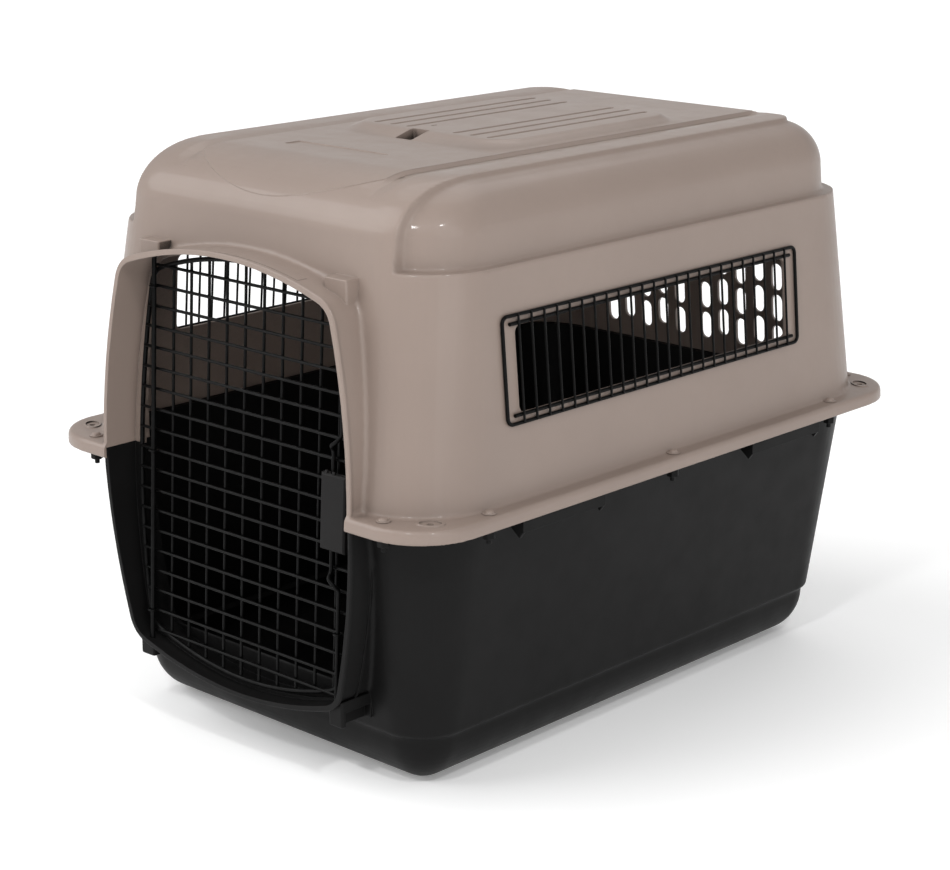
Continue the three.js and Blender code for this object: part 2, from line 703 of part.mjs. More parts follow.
// One latch rod: up from the housing, a bent finger pull, then straight into its socket.
function latchRod({ inner, pull, tip }) {
  const towards = Math.sign(tip - inner);
  const points = [
    [LATCH_INNER_X, LATCH_OUT, inner],
    [LATCH_INNER_X, LATCH_OUT, pull],
    [LATCH_INNER_X + 2, LATCH_OUT + 7, pull + towards * 6],
    [LATCH_X - 2, LATCH_OUT + 7, pull + towards * 12],
    [LATCH_X, LATCH_OUT, pull + towards * 18],
    [LATCH_X, LATCH_OUT, tip],
  ].map(([x, out, z]) => new THREE.Vector3(x, -out, z));
  return intoDoorPlane(wire(points, LATCH_ROD_RADIUS, { sides: 8 }));
}

const LATCH = { x0: 142, x1: 182, z0: 293, z1: 383, front: 13.5, back: 4.3, wall: 2.5 };

function latchHousing() {
  const { x0, x1, z0, z1, front, back, wall } = LATCH;
  const tray = box([x0, -front, z0], [x1, -back, z1]);
  const inside = box([x0 + wall, -front + wall, z0 + wall], [x1 - wall, 0, z1 - wall]);
  const slot = 3.2;
  const notches = box(
    [LATCH_INNER_X - slot, -LATCH_OUT - slot, z0 - 5],
    [LATCH_INNER_X + slot, 0, z1 + 5],
  );
  const studs = [-6, 6].map((side) => {
    const x = LATCH_INNER_X + side;
    return box([x - 2, -front + 0.8, z1 - 1], [x + 2, -front + wall + 0.8, z1 + 3]);
  });
  return intoDoorPlane(union([tray.subtract(inside).subtract(notches), ...studs]));
}

// The return spring between the two rods' inner ends, clear of both.
const SPRING = {
  turns: 6,
  perTurn: 6,
  coil: 2.4,
  wire: 0.6,
  foot: LOWER_ROD.inner + 3,
  head: UPPER_ROD.inner - 3,
};

function latchSpring() {
  const { turns, perTurn, coil, foot, head } = SPRING;
  const points = [];
  for (let i = 0; i <= turns * perTurn; i++) {
    const angle = (i / perTurn) * Math.PI * 2;
    const height = foot + ((head - foot) * i) / (turns * perTurn);
    const x = LATCH_INNER_X + coil * Math.cos(angle);
    points.push(new THREE.Vector3(x, -LATCH_OUT - coil * Math.sin(angle), height));
  }
  return intoDoorPlane(wire(points, SPRING.wire, { sides: 4 }));
}

// ---- side window grilles ----
const GRILLE = { y0: -298, y1: 258, z0: 436, z1: 564, corner: 8 };
const GRILLE_WIRES = 24;

function windowGrille(side) {
  const { y0, y1, z0, z1, corner } = GRILLE;
  const middleY = (y0 + y1) / 2;
  const middleZ = (z0 + z1) / 2;
  const slope = Math.atan2(WALL_LEDGE_INSET - WALL_FOOT_INSET, LEDGE_HEIGHT - JOINT);
  const loop = ring(0, (z1 - z0) / 2 - 2.2, (y1 - y0) / 2 - 2.2, corner, 3).map(
    (p) => new THREE.Vector3(2.2 + GAP, p.y, p.x),
  );
  const upright = (y) => [
    new THREE.Vector3(4.9, y, -(z1 - z0) / 2 + 1.5),
    new THREE.Vector3(4.9, y, (z1 - z0) / 2 - 1.5),
  ];
  const rail = (z) => [
    new THREE.Vector3(2.2 + GAP, (y0 - y1) / 2 + 14, z),
    new THREE.Vector3(2.2 + GAP, (y1 - y0) / 2 - 14, z),
  ];
  const pieces = [wire(loop, 2.2, { closed: true })];
  for (let i = 0; i < GRILLE_WIRES; i++)
    pieces.push(wire(upright(-251 + (i * 502) / (GRILLE_WIRES - 1)), 1.6, { sides: 4 }));
  for (const z of [-52, 52]) pieces.push(wire(rail(z), 2.2));
  const inset = WALL_FOOT_INSET + (middleZ - JOINT) * Math.tan(slope);
  const place = new THREE.Matrix4()
    .makeTranslation(HALF_WIDTH - inset, middleY, middleZ)
    .multiply(new THREE.Matrix4().makeRotationY(-slope));
  const right = union(pieces).transform(place.elements);
  return side > 0 ? right : right.mirror([1, 0, 0]);
}

// ---- bolts and nuts ----
const BOLT_FOOT = FLANGE_FOOT - 18;
const HEAD_FOOT = FLANGE_TOP + GAP;
const NUT_FOOT = FLANGE_FOOT - 12;
const NUT_RADIUS = 7.6;

// A straight shank under a domed head, as a profile of (radius, height) turned about its own line.
function bolt({ x, y }) {
  const profile = [
    [0, BOLT_FOOT],
    [BOLT_RADIUS, BOLT_FOOT],
    [BOLT_RADIUS, HEAD_FOOT],
    [8.5, HEAD_FOOT],
    [7.6, HEAD_FOOT + 2.4],
    [4.6, HEAD_FOOT + 4.4],
    [0, HEAD_FOOT + 5],
  ].map(([radius, height]) => new THREE.Vector2(radius, height));
  const geometry = new THREE.LatheGeometry(profile, 10).rotateX(Math.PI / 2);
  return toSolid(geometry.translate(x, y, 0));
}

function nut({ x, y }) {
  const hex = post(x, y, NUT_FOOT, PLATE_FOOT - GAP, NUT_RADIUS, 6);
  return hex.subtract(post(x, y, BOLT_FOOT, FLANGE_TOP, BOLT_RADIUS + GAP, 10));
}

// ---- the assembly ----
const group = new THREE.Group();
group.name = "pet_transport_carrier";

const FINISH = {
  taupe: { color: "#a39488", roughness: 0.42, metalness: 0 },
  black: { color: "#2b2b2c", roughness: 0.5, metalness: 0 },
  coated: { color: "#141516", roughness: 0.35, metalness: 0.4 },
  latch: { color: "#2f2e2e", roughness: 0.45, metalness: 0 },
  steel: { color: "#8d8f92", roughness: 0.3, metalness: 1 },
};

function addPiece(name, solid, finish) {
  const material = new THREE.MeshStandardMaterial({ ...FINISH[finish], name: finish });
  const mesh = new THREE.Mesh(toGeometry(solid), material);
  mesh.name = name;
  group.add(mesh);
}

addPiece("bottom_shell", bottomShell(), "black");
addPiece("top_shell", topShell(), "taupe");
addPiece("door_wire_panel", doorPanel(), "coated");
addPiece("door_hinge_rod", hingeRod(), "coated");
addPiece("latch_housing", latchHousing(), "latch");
addPiece("latch_upper_rod", latchRod(UPPER_ROD), "coated");
addPiece("latch_lower_rod", latchRod(LOWER_ROD), "coated");
addPiece("latch_spring", latchSpring(), "steel");
addPiece("window_grille_right", windowGrille(1), "coated");
addPiece("window_grille_left", windowGrille(-1), "coated");
for (const place of BOLTS) {
  addPiece("shell_bolt_" + place.name, bolt(place), "taupe");
  addPiece("shell_nut_" + place.name, nut(place), "black");
}

export default group;
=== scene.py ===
"""Looks of the pet transport carrier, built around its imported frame.

Lengths are written in millimetres and turned into metres where a mesh or curve is made.
X is the width, the door looks along -Y and the floor is at Z = 0.
"""

import json
import math
from collections import namedtuple

import bmesh
import bpy
from mathutils import Euler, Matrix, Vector


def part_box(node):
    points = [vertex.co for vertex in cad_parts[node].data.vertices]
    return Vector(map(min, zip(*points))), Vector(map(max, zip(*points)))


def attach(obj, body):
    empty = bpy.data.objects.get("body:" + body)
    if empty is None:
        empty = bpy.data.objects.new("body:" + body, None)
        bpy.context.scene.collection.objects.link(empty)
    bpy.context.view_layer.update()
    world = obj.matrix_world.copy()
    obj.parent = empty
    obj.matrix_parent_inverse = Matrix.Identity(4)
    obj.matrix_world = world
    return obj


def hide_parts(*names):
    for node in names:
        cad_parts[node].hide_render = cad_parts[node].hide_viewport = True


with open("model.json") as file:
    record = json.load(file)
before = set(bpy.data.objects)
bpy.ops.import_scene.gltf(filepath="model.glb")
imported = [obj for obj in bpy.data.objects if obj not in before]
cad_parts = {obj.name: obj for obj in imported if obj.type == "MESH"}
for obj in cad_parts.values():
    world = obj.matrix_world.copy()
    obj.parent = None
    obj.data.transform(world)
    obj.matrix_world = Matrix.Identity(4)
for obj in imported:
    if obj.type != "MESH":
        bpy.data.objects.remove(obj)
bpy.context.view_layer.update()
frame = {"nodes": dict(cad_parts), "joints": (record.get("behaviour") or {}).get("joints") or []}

MM = 0.001


def millimetres(corner):
    """A corner from the frame, in millimetres."""
    return Vector(corner) / MM


# ---- dimensions taken from the frame ----
top_low, top_high = (millimetres(c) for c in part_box("top_shell"))
HALF_WIDTH = top_high.x
HALF_LENGTH = top_high.y
FLANGE_FOOT = top_low.z
ROOF_CREST = top_high.z
TUB_RIM = millimetres(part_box("bottom_shell")[1]).z
DOOR_JOINT = next(j for j in frame["joints"] if j["name"] == "door_hinge")
HINGE_POINT = millimetres(DOOR_JOINT["pos_m"])
HINGE_UP = -Vector(DOOR_JOINT["axis"]).normalized()
DOOR_OUTWARD = Vector((0, -HINGE_UP.z, HINGE_UP.y))

# ---- moulding dimensions ----
JOINT = 347  # height at which the two shells part
FLANGE_TOP = 351
FLANGE_CORNER = 79
SKIRT_WALL = 4
WALL = 4
GAP = 0.4
LEDGE_HEIGHT = 617
SHOULDER_HEIGHT = 645
ROOF_ROUND = 66
ROOF_HEIGHT = SHOULDER_HEIGHT + ROOF_ROUND
WALL_FOOT_INSET = 25
WALL_LEDGE_INSET = 48.6
WALL_SHOULDER_INSET = 51.5
WALL_FOOT_CORNER = 100
WALL_LEDGE_CORNER = 97
WALL_SHOULDER_CORNER = 96
LEDGE_LEAN = 13.5
FRONT_LEAN = 15
FRONT_ROUND = 35
PANEL_DEPTH = 12
PANEL_ROUND = 56
PANEL_FOOT = LEDGE_HEIGHT - 8
PANEL_FOOT_CORNER = 90
PANEL_SHOULDER = SHOULDER_HEIGHT + 4
PANEL_SHOULDER_CORNER = 88
ROOF_HALF = 222
ROOF_FRONT = -300
ROOF_REAR = 350
ROOF_CORNER = 30
RAIL_GROOVE = 160
BASE_ROUND = 62
BASE_INSET = 76.5
BASE_CORNER = 52
STEP_HEIGHT = 67
STEP_RISE = 4
STEP_INSET = 70
STEP_CORNER = 58
TUB_INSET = 32
TUB_CORNER = 98
PLATE_FOOT = 342
PLATE_CORNER = 74
LEAST_CORNER = 3

# ---- door dimensions ----
DOOR_MIDDLE = 347.5
DOOR_DATUM = 398
HOOD_FRONT = -HALF_LENGTH + 4
HOOD_LEAN = 9
LOWER_HOOD_FRONT = HOOD_FRONT + SKIRT_WALL / 2 - GAP - 1
LOWER_HOOD_LEAN = 10
HOOD_REACH = 280  # the hood has leaned by all of its lean this far above or below the door's middle
HOOD_WALL = 6
BEAD = 2.5
UPPER_SOCKET = {"x": ((-178, -142), (142, 178)), "y": (-423, -396), "z": (575, 607), "bore": (560, 601)}
LOWER_SOCKET = {"x": ((-176, -152), (162, 184)), "y": (-446, -392), "z": (86, 118), "bore": (94, 130)}
SOCKET_BORE = 3.7
BOLT_BORE = 3.4
Barrel = namedtuple("Barrel", "half_width half_height side_bulge end_bulge corner")
HOOD = Barrel(217, 269.5, 33, 32, 22)
OPENING = Barrel(194, 258, 21.5, 27, 18)
FRAME = Barrel(189, 252.5, 21, 32, 16)
WIRE_PITCH = 25.4
COLUMN_PITCH = 32.1
FIRST_COLUMN = -132.6
WIRE_RADIUS = 1.9
FRAME_RADIUS = 2.9
CROSS_OFFSET = 1.75
HINGE_OUT = 7
HINGE_X = HINGE_POINT.x
HINGE_ROD_RADIUS = 3
LATCH_X = 169
LATCH_OUT = 6.6
LATCH_INNER_X = 156
LATCH_ROD_RADIUS = 2.5

# ---- working sizes ----
FAR_X = 400  # beyond both sides of the carrier
FAR_Y = 520  # beyond both its ends
OVERRUN = 10  # how far a hollow runs on past the face that it opens through
VOXEL = 2.4
HAIR = 0.01  # keeps the crest and the base just inside the frame's box
BASE_TRIANGLES = 150_000
MOST_TRIANGLES = 190_000


# ---- objects ----
def in_scene(name, data):
    """A new object in the scene, made from a mesh, curve, light or camera."""
    obj = bpy.data.objects.new(name, data)
    bpy.context.scene.collection.objects.link(obj)
    return obj


def make_camera():
    """The photograph's viewpoint, from the front and the carrier's right."""
    camera = bpy.data.cameras.new("camera")
    camera.sensor_width = 36
    camera.lens = 89.13
    eye = in_scene("camera", camera)
    eye.location = (2.0025, -2.1719, 1.1511)
    eye.rotation_euler = Euler((math.radians(74.08), 0, math.radians(43.01)))
    bpy.context.scene.camera = eye


make_camera()


# ---- mesh tools ----
def mesh_object(name, points, faces):
    """A mesh object from points in millimetres, its faces turned outwards."""
    mesh = bpy.data.meshes.new(name)
    mesh.from_pydata([Vector(p) * MM for p in points], [], faces)
    build = bmesh.new()
    build.from_mesh(mesh)
    bmesh.ops.recalc_face_normals(build, faces=build.faces)
    build.to_mesh(mesh)
    build.free()
    return in_scene(name, mesh)


def loft(name, rings):
    """A solid skinned over a stack of rings that all have the same number of points."""
    count = len(rings[0])
    points = [p for ring_points in rings for p in ring_points]
    faces = [tuple(range(count))[::-1]]
    for row in range(len(rings) - 1):
        for i in range(count):
            a = row * count + i
            b = row * count + (i + 1) % count
            faces.append((a, b, b + count, a + count))
    last = (len(rings) - 1) * count
    faces.append(tuple(range(last, last + count)))
    return mesh_object(name, points, faces)


def evaluated_mesh(obj):
    """The mesh that an object shows, as a new mesh."""
    graph = bpy.context.evaluated_depsgraph_get()
    return bpy.data.meshes.new_from_object(obj.evaluated_get(graph))


def apply_modifiers(obj):
    """Gives an object the mesh that its modifiers make, and drops the modifiers."""
    mesh = evaluated_mesh(obj)
    obj.modifiers.clear()
    obj.data = mesh
    return obj


def combine(target, tool, operation):
    """Joins, cuts or intersects target with tool, and uses the tool up."""
    modifier = target.modifiers.new("combine", "BOOLEAN")
    modifier.solver = "MANIFOLD"
    modifier.operation = operation
    modifier.object = tool
    apply_modifiers(target)
    bpy.data.objects.remove(tool)
    return target


def cut(target, *tools):
    """Takes every tool away from target."""
    for tool in tools:
        combine(target, tool, "DIFFERENCE")
    return target


def add(target, *tools):
    """Joins every tool to target."""
    for tool in tools:
        combine(target, tool, "UNION")
    return target


def keep(target, tool):
    """Leaves only the part of target that lies inside tool."""
    return combine(target, tool, "INTERSECT")


def soften(obj, rounds):
    """Gives every edge of a moulded solid a small radius."""
    remesh = obj.modifiers.new("remesh", "REMESH")
    remesh.mode = "VOXEL"
    remesh.voxel_size = VOXEL * MM
    smooth = obj.modifiers.new("smooth", "SMOOTH")
    smooth.factor = 0.5
    smooth.iterations = rounds
    return apply_modifiers(obj)


def shade(obj, angle=35):
    """Smooth shading, sharp where two faces meet at more than the angle."""
    obj.data.shade_smooth()
    obj.data.set_sharp_from_angle(angle=math.radians(angle))
    weighted = obj.modifiers.new("weighted_normals", "WEIGHTED_NORMAL")
    weighted.keep_sharp = True
    return apply_modifiers(obj)


def slimmed(obj, most):
    """Thins a dense mesh to the most triangles that it may have."""
    obj.data.calc_loop_triangles()
    count = len(obj.data.loop_triangles)
    if count > most:
        thin = obj.modifiers.new("thin", "DECIMATE")
        thin.ratio = most / count
        apply_modifiers(obj)
    return obj


# ---- outlines ----
def ring(height, half_x, half_y, corner, shift=0.0, steps=14):
    """A level rectangle with rounded corners, counter-clockwise seen from above."""
    points = []
    for quarter in range(4):
        side_x = 1 if quarter in (0, 3) else -1
        side_y = 1 if quarter < 2 else -1
        for i in range(steps + 1):
            angle = (quarter + i / steps) * math.pi / 2
            x = side_x * (half_x - corner) + corner * math.cos(angle)
            y = side_y * (half_y - corner) + corner * math.sin(angle)
            points.append((x, y + shift, height))
    return points


def inset_ring(height, inset, corner, front_extra=0.0):
    """A ring of the carrier's wall, set in from the flange, the front further by front_extra."""
    half_y = HALF_LENGTH - inset - front_extra / 2
    return ring(height, HALF_WIDTH - inset, half_y, max(corner, LEAST_CORNER), front_extra / 2)


def box(name, low, high):
    """A plain block between two corners."""
    x0, y0, z0 = low
    x1, y1, z1 = high
    corners = [(x0, y0), (x1, y0), (x1, y1), (x0, y1)]
    return loft(name, [[(x, y, z) for x, y in corners] for z in (z0, z1)])


def layer(z0, z1, back=FAR_Y):
    """All the space between two heights, from in front of the carrier to the given back."""
    return box("layer", (-FAR_X, -FAR_Y, z0), (FAR_X, back, z1))


def above_joint():
    """All the space of the top shell."""
    return layer(JOINT, 800)


def below(height):
    """All the space under a height."""
    return layer(-10, height)


def rounded_ends(z0, z1, edge, steps=3):
    """Heights from z0 to z1, each with how far it is drawn in to round both ends."""
    turns = [i / steps * math.pi / 2 for i in range(steps + 1)]
    arc = [(edge * (1 - math.sin(turn)), edge * (1 - math.cos(turn))) for turn in turns]
    foot = [(z0 + rise, pulled) for rise, pulled in reversed(arc)]
    head = [(z1 - drop, pulled) for drop, pulled in arc]
    return foot + head


def soft_box(name, low, high, edge=1.5, corner=2.5):
    """A box with all its edges rounded."""
    (x0, y0, z0), (x1, y1, z1) = low, high
    middle_x, half_x = (x0 + x1) / 2, (x1 - x0) / 2
    middle_y, half_y = (y0 + y1) / 2, (y1 - y0) / 2
    rings = []
    for z, pulled in rounded_ends(z0, z1, edge):
        level = ring(z, half_x - pulled, half_y - pulled, corner, middle_y, 4)
        rings.append([(x + middle_x, y, z) for x, y, z in level])
    return loft(name, rings)


def bezier(start, control, end, steps):
    """Points of a quadratic curve, without its end."""
    points = []
    for i in range(steps):
        t = i / steps
        points.append(
            tuple((1 - t) ** 2 * a + 2 * t * (1 - t) * b + t * t * c for a, b, c in zip(start, control, end))
        )
    return points


def circle(radius, steps=24):
    """Points round the origin."""
    turns = [i / steps * math.tau for i in range(steps)]
    return [(radius * math.cos(turn), radius * math.sin(turn)) for turn in turns]


def turned(name, x, y, profile, steps=32):
    """A body of revolution about an upright line; the profile is (radius, height) points."""
    rings = []
    for radius, z in profile:
        rings.append([(x + u, y + v, z) for u, v in circle(radius, steps)])
    return loft(name, rings)


def post(x, y, z0, z1, radius):
    """A round upright post."""
    return turned("post", x, y, [(radius, z0), (radius, z1)], 24)


def shrunk(barrel, by):
    """The same bulging outline, drawn in all round."""
    half_width, half_height = barrel.half_width - by, barrel.half_height - by
    corner = max(barrel.corner - by, 4)
    return barrel._replace(half_width=half_width, half_height=half_height, corner=corner)


def barrel_half_width(barrel, height):
    """Half the outline's width at a height above its middle."""
    reach = barrel.half_height - barrel.end_bulge
    return barrel.half_width - barrel.side_bulge * (height / reach) ** 2


def barrel_half_height(barrel, across):
    """Half the outline's height at a distance across from its middle."""
    reach = barrel.half_width - barrel.side_bulge
    return barrel.half_height - barrel.end_bulge * (across / reach) ** 2


def barrel_outline(barrel, steps=16):
    """The bulging outline that the hood, the opening and the door frame share, in X and Z."""
    corner_x = barrel.half_width - barrel.side_bulge
    corner_z = barrel.half_height - barrel.end_bulge
    top_end, side_end = corner_x - barrel.corner, corner_z - barrel.corner
    side_x = barrel_half_width(barrel, side_end)
    top_z = barrel_half_height(barrel, top_end)
    bulge_x = 2 * barrel.half_width - side_x
    bulge_z = 2 * barrel.half_height - top_z
    half_way = [
        ((side_x, -side_end), (bulge_x, 0)),
        ((side_x, side_end), (corner_x, corner_z)),
        ((top_end, top_z), (0, bulge_z)),
        ((-top_end, top_z), (-corner_x, corner_z)),
    ]
    stations = half_way + [((-x, -z), (-u, -v)) for (x, z), (u, v) in half_way]
    points = []
    for i, (start, control) in enumerate(stations):
        end = stations[(i + 1) % len(stations)][0]
        points += bezier(start, control, end, steps if i % 2 == 0 else steps // 2)
    return [(x, z + DOOR_MIDDLE) for x, z in points]


def slot_outline(across, along, width, length, steps=8):
    """A slot with round ends, its length along the second direction."""
    radius = width / 2
    straight = length / 2 - radius
    points = []
    points = []
    for end, start in ((1, 0), (-1, math.pi)):
        for i in range(steps + 1):
            angle = math.pi * (i / steps) + start
            x = across + radius * math.cos(angle)
            points.append((x, along + end * straight + radius * math.sin(angle)))
    return points


def slab(name, outline, y0, y1):
    """An outline in X and Z, made solid from depth y0 to depth y1."""
    return loft(name, [[(x, y, z) for x, z in outline] for y in (y0, y1)])


def plate(name, outline, z0, z1):
    """An outline in X and Y, made solid from z0 up to z1."""
    return loft(name, [[(x, y, z) for x, y in outline] for z in (z0, z1)])


def slab_across(name, outline, x0, x1):
    """An outline in Y and Z, made solid across the width from x0 to x1."""
    return loft(name, [[(x, y, z) for y, z in outline] for x in (x0, x1)])


def on_door(x, out, height):
    """A point on the leaning door: across, in front of its plane, and up along it."""
    return (
        Vector((x, HINGE_POINT.y, HINGE_POINT.z))
        + HINGE_UP * (height - DOOR_DATUM)
        + DOOR_OUTWARD * (out - HINGE_OUT)
    )


# ---- hood ----
# The hood's thin rim: (distance behind the front edge, drawn in by), then fading into the hood.
RIM = [(0, 1.3), (0.6, 0.4), (1.5, 0), (3.2, 0), (4.2, BEAD), (14, BEAD + 0.3)]
LANDING_INSET = 3
LANDING_REACH = -300
TUNNEL_FRONT = -500
TUNNEL_BACK = -396


def hood_edge(above, z):
    """Y of the hood's front edge, which leans back towards the hood's top and its foot."""
    if above:
        return HOOD_FRONT + HOOD_LEAN * max(z - FLANGE_TOP, 0) / (DOOR_MIDDLE + HOOD_REACH - FLANGE_TOP)
    foot_reach = FLANGE_FOOT - DOOR_MIDDLE + HOOD_REACH
    return LOWER_HOOD_FRONT + LOWER_HOOD_LEAN * max(FLANGE_FOOT - z, 0) / foot_reach


def hood_layers(name, above, layers):
    """The hood's outline in layers, each (distance behind its front edge, drawn in by)."""
    rings = []
    for behind, pulled in layers:
        outline = barrel_outline(shrunk(HOOD, pulled))
        rings.append([(x, hood_edge(above, z) + behind, z) for x, z in outline])
    return loft(name, rings)


def hood_slab(name, pulled, y0, y1):
    """The hood's outline, drawn in, made solid between two depths."""
    return slab(name, barrel_outline(shrunk(HOOD, pulled)), y0, y1)


def hood_liner(front, back):
    """The hood's own wall, carried on behind the front of the shell."""
    tunnel = hood_slab("tunnel", HOOD_WALL, TUNNEL_FRONT, LANDING_REACH)
    return cut(hood_slab("liner", BEAD, front, back), tunnel)


def door_slab(name, barrel, front, back):
    """An outline on the leaning door, made solid between two distances in front of its plane."""
    return loft(name, [[on_door(x, out, z) for x, z in barrel_outline(barrel)] for out in (front, back)])


def landing(low, high):
    """The plate round the opening that the door closes against."""
    ring_plate = door_slab("landing", shrunk(HOOD, LANDING_INSET), -7, -11)
    cut(ring_plate, door_slab("landing_hole", OPENING, 10, -30))
    return keep(ring_plate, layer(low, high, LANDING_REACH))


def socket_blocks(socket):
    """Blocks that hold the ends of the hinge rod and of the latch rod."""
    (y0, y1), (z0, z1) = socket["y"], socket["z"]
    return [soft_box("socket", (x0, y0, z0), (x1, y1, z1)) for x0, x1 in socket["x"]]


def socket_bores(socket):
    """The holes that the two rods' ends stand in."""
    bores = []
    for x, out in ((HINGE_X, HINGE_OUT), (LATCH_X, LATCH_OUT)):
        rings = [[on_door(x + u, out + v, z) for u, v in circle(SOCKET_BORE)] for z in socket["bore"]]
        bores.append(loft("bore", rings))
    return bores


# ---- fasteners' places, from the frame ----
FASTENERS = sorted(n[len("shell_bolt_"):] for n in frame["nodes"] if n.startswith("shell_bolt_"))


def fastener_place(name):
    """X and Y of a flange bolt's middle."""
    low, high = (millimetres(c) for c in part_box("shell_bolt_" + name))
    return (low.x + high.x) / 2, (low.y + high.y) / 2


TIE_HOLE_RADIUS = 4
TIE_HOLES = [(x, y) for x in (-296, 296) for y in (-414, 414)]


# ---- bottom shell ----
def tub(shell):
    """The bottom shell's tapered tub, drawn in by a wall of the given thickness."""
    rings = []
    rounding = BASE_ROUND - shell
    steps = 12
    for i in range(steps + 1):
        angle = i / steps * math.pi / 2
        pulled = rounding * (1 - math.sin(angle))
        height = max(shell + rounding * (1 - math.cos(angle)), HAIR)
        rings.append(inset_ring(height, BASE_INSET + shell + pulled, BASE_CORNER - shell - pulled))
    rings.append(inset_ring(STEP_HEIGHT, BASE_INSET + shell, BASE_CORNER - shell))
    rings.append(inset_ring(STEP_HEIGHT + STEP_RISE, STEP_INSET + shell, STEP_CORNER - shell))
    top = JOINT - GAP + (OVERRUN if shell else 0)
    rings.append(inset_ring(top, TUB_INSET + shell, TUB_CORNER - shell))
    return loft("tub", rings)


GRIP = {"inside": 293, "outside": 328, "wall": 4, "foot": 319, "head": PLATE_FOOT + 1}
GRIP_SPANS = ((-297, -153), (133, 277))


def grip_lips():
    """Hanging lips under the side flanges, closed by a gusset at both ends."""
    inside, outside, wall, foot, head = GRIP.values()
    lips = []
    for side in (-1, 1):
        gusset = [
            (side * (inside + 3), head),
            (side * (outside - 1), head),
            (side * (outside - 1), foot),
            (side * (outside - 6), foot - 7),
            (side * inside, head - 8),
        ]
        x0, x1 = sorted((side * (outside - wall), side * outside))
        for y0, y1 in GRIP_SPANS:
            lip = box("lip", (x0, y0, foot), (x1, y1, head))
            for y in (y0, y1 - wall):
                add(lip, slab("gusset", gusset, y, y + wall))
            lips.append(lip)
    return lips


def mating_plate():
    """The bottom shell's flange, which the top shell's flange sits on."""
    rings = []
    for z, pulled in ((PLATE_FOOT, 1), (PLATE_FOOT + 1, 0), (TUB_RIM, 0)):
        inset = SKIRT_WALL + 1 + pulled
        rings.append(ring(z, HALF_WIDTH - inset, HALF_LENGTH - inset, PLATE_CORNER))
    return loft("mating_plate", rings)


def flange_bores():
    """Holes through both flanges for the bolts and for ties."""
    bores = [(*fastener_place(name), BOLT_BORE) for name in FASTENERS]
    bores += [(x, y, TIE_HOLE_RADIUS) for x, y in TIE_HOLES]
    return [post(x, y, FLANGE_FOOT - 20, FLANGE_TOP + OVERRUN, radius) for x, y, radius in bores]


LOWER_HOOD = [(0, BEAD), (70, BEAD)]
LOWER_LIP = (0.4, -424, -421)  # drawn in by, front and back
LOWER_LINER = (-430, -388)
LATCH_RECESS = ((174, -440, 80), (190, -400, 104))


def bottom_shell():
    """Softened outer form first, then the crisp rim, plate and sockets, then the hollows."""
    body = add(tub(0), keep(hood_layers("hood", False, LOWER_HOOD), below(TUB_RIM)))
    slimmed(soften(body, 3), BASE_TRIANGLES)
    rim = keep(hood_layers("rim", False, RIM), below(FLANGE_FOOT - GAP))
    lip = keep(hood_slab("lip", *LOWER_LIP), below(FLANGE_FOOT - GAP))
    add(body, mating_plate(), rim, lip, *grip_lips(), *socket_blocks(LOWER_SOCKET))
    above_rim = layer(TUB_RIM, TUB_RIM + 40)
    cut(body, above_rim, tub(WALL), hood_slab("tunnel", HOOD_WALL, TUNNEL_FRONT, TUNNEL_BACK))
    add(body, keep(hood_liner(*LOWER_LINER), below(TUB_RIM)), landing(0, TUB_RIM))
    cut(body, box("recess", *LATCH_RECESS), *socket_bores(LOWER_SOCKET), *flange_bores())
    return shade(slimmed(body, MOST_TRIANGLES))


# ---- top shell ----
def rolled_over(shoulder, inset, corner, rounding, steps=14):
    """Rings that roll from the wall's shoulder over to the roof, further in at the front."""
    rings = []
    for i in range(1, steps + 1):
        angle = i / steps * math.pi / 2
        pulled = rounding * (1 - math.cos(angle))
        height = shoulder + rounding * math.sin(angle)
        front_extra = FRONT_LEAN + FRONT_ROUND * (1 - math.cos(angle))
        rings.append(inset_ring(height, inset + pulled, corner - pulled, front_extra))
    return rings


def canopy(shell, name="canopy"):
    """The top shell's walls and rounded roof, drawn in by a wall of the given thickness."""
    foot = JOINT - (OVERRUN if shell > 0 else 0)
    shoulder_inset, shoulder_corner = WALL_SHOULDER_INSET + shell, WALL_SHOULDER_CORNER - shell
    rings = [
        inset_ring(foot, WALL_FOOT_INSET + shell, WALL_FOOT_CORNER - shell),
        inset_ring(LEDGE_HEIGHT, WALL_LEDGE_INSET + shell, WALL_LEDGE_CORNER - shell, LEDGE_LEAN),
        inset_ring(SHOULDER_HEIGHT, shoulder_inset, shoulder_corner, FRONT_LEAN),
    ]
    rings += rolled_over(SHOULDER_HEIGHT, shoulder_inset, shoulder_corner, ROOF_ROUND - shell)
    return loft(name, rings)


def inset_canopy(extra):
    """The canopy drawn in by the depth of the side panels."""
    inset = PANEL_DEPTH + extra
    shoulder_inset, shoulder_corner = WALL_SHOULDER_INSET + inset, PANEL_SHOULDER_CORNER - extra
    rings = [
        inset_ring(PANEL_FOOT, WALL_LEDGE_INSET + inset, PANEL_FOOT_CORNER - extra, FRONT_LEAN),
        inset_ring(PANEL_SHOULDER, shoulder_inset, shoulder_corner, FRONT_LEAN),
    ]
    rings += rolled_over(PANEL_SHOULDER, shoulder_inset, shoulder_corner, PANEL_ROUND - extra)
    return loft("inset_canopy", rings)


def roof_outline(extra, steps=10):
    """The part of the roof that keeps its full height, its two rear corners rounded."""
    half, rear = ROOF_HALF - extra, ROOF_REAR - extra
    points = [(half, ROOF_FRONT)]
    for side, start in ((1, 0), (-1, 1)):
        for i in range(steps + 1):
            angle = (start + i / steps) * math.pi / 2
            x = side * (half - ROOF_CORNER) + ROOF_CORNER * math.cos(angle)
            points.append((x, rear - ROOF_CORNER + ROOF_CORNER * math.sin(angle)))
    points.append((-half, ROOF_FRONT))
    return points


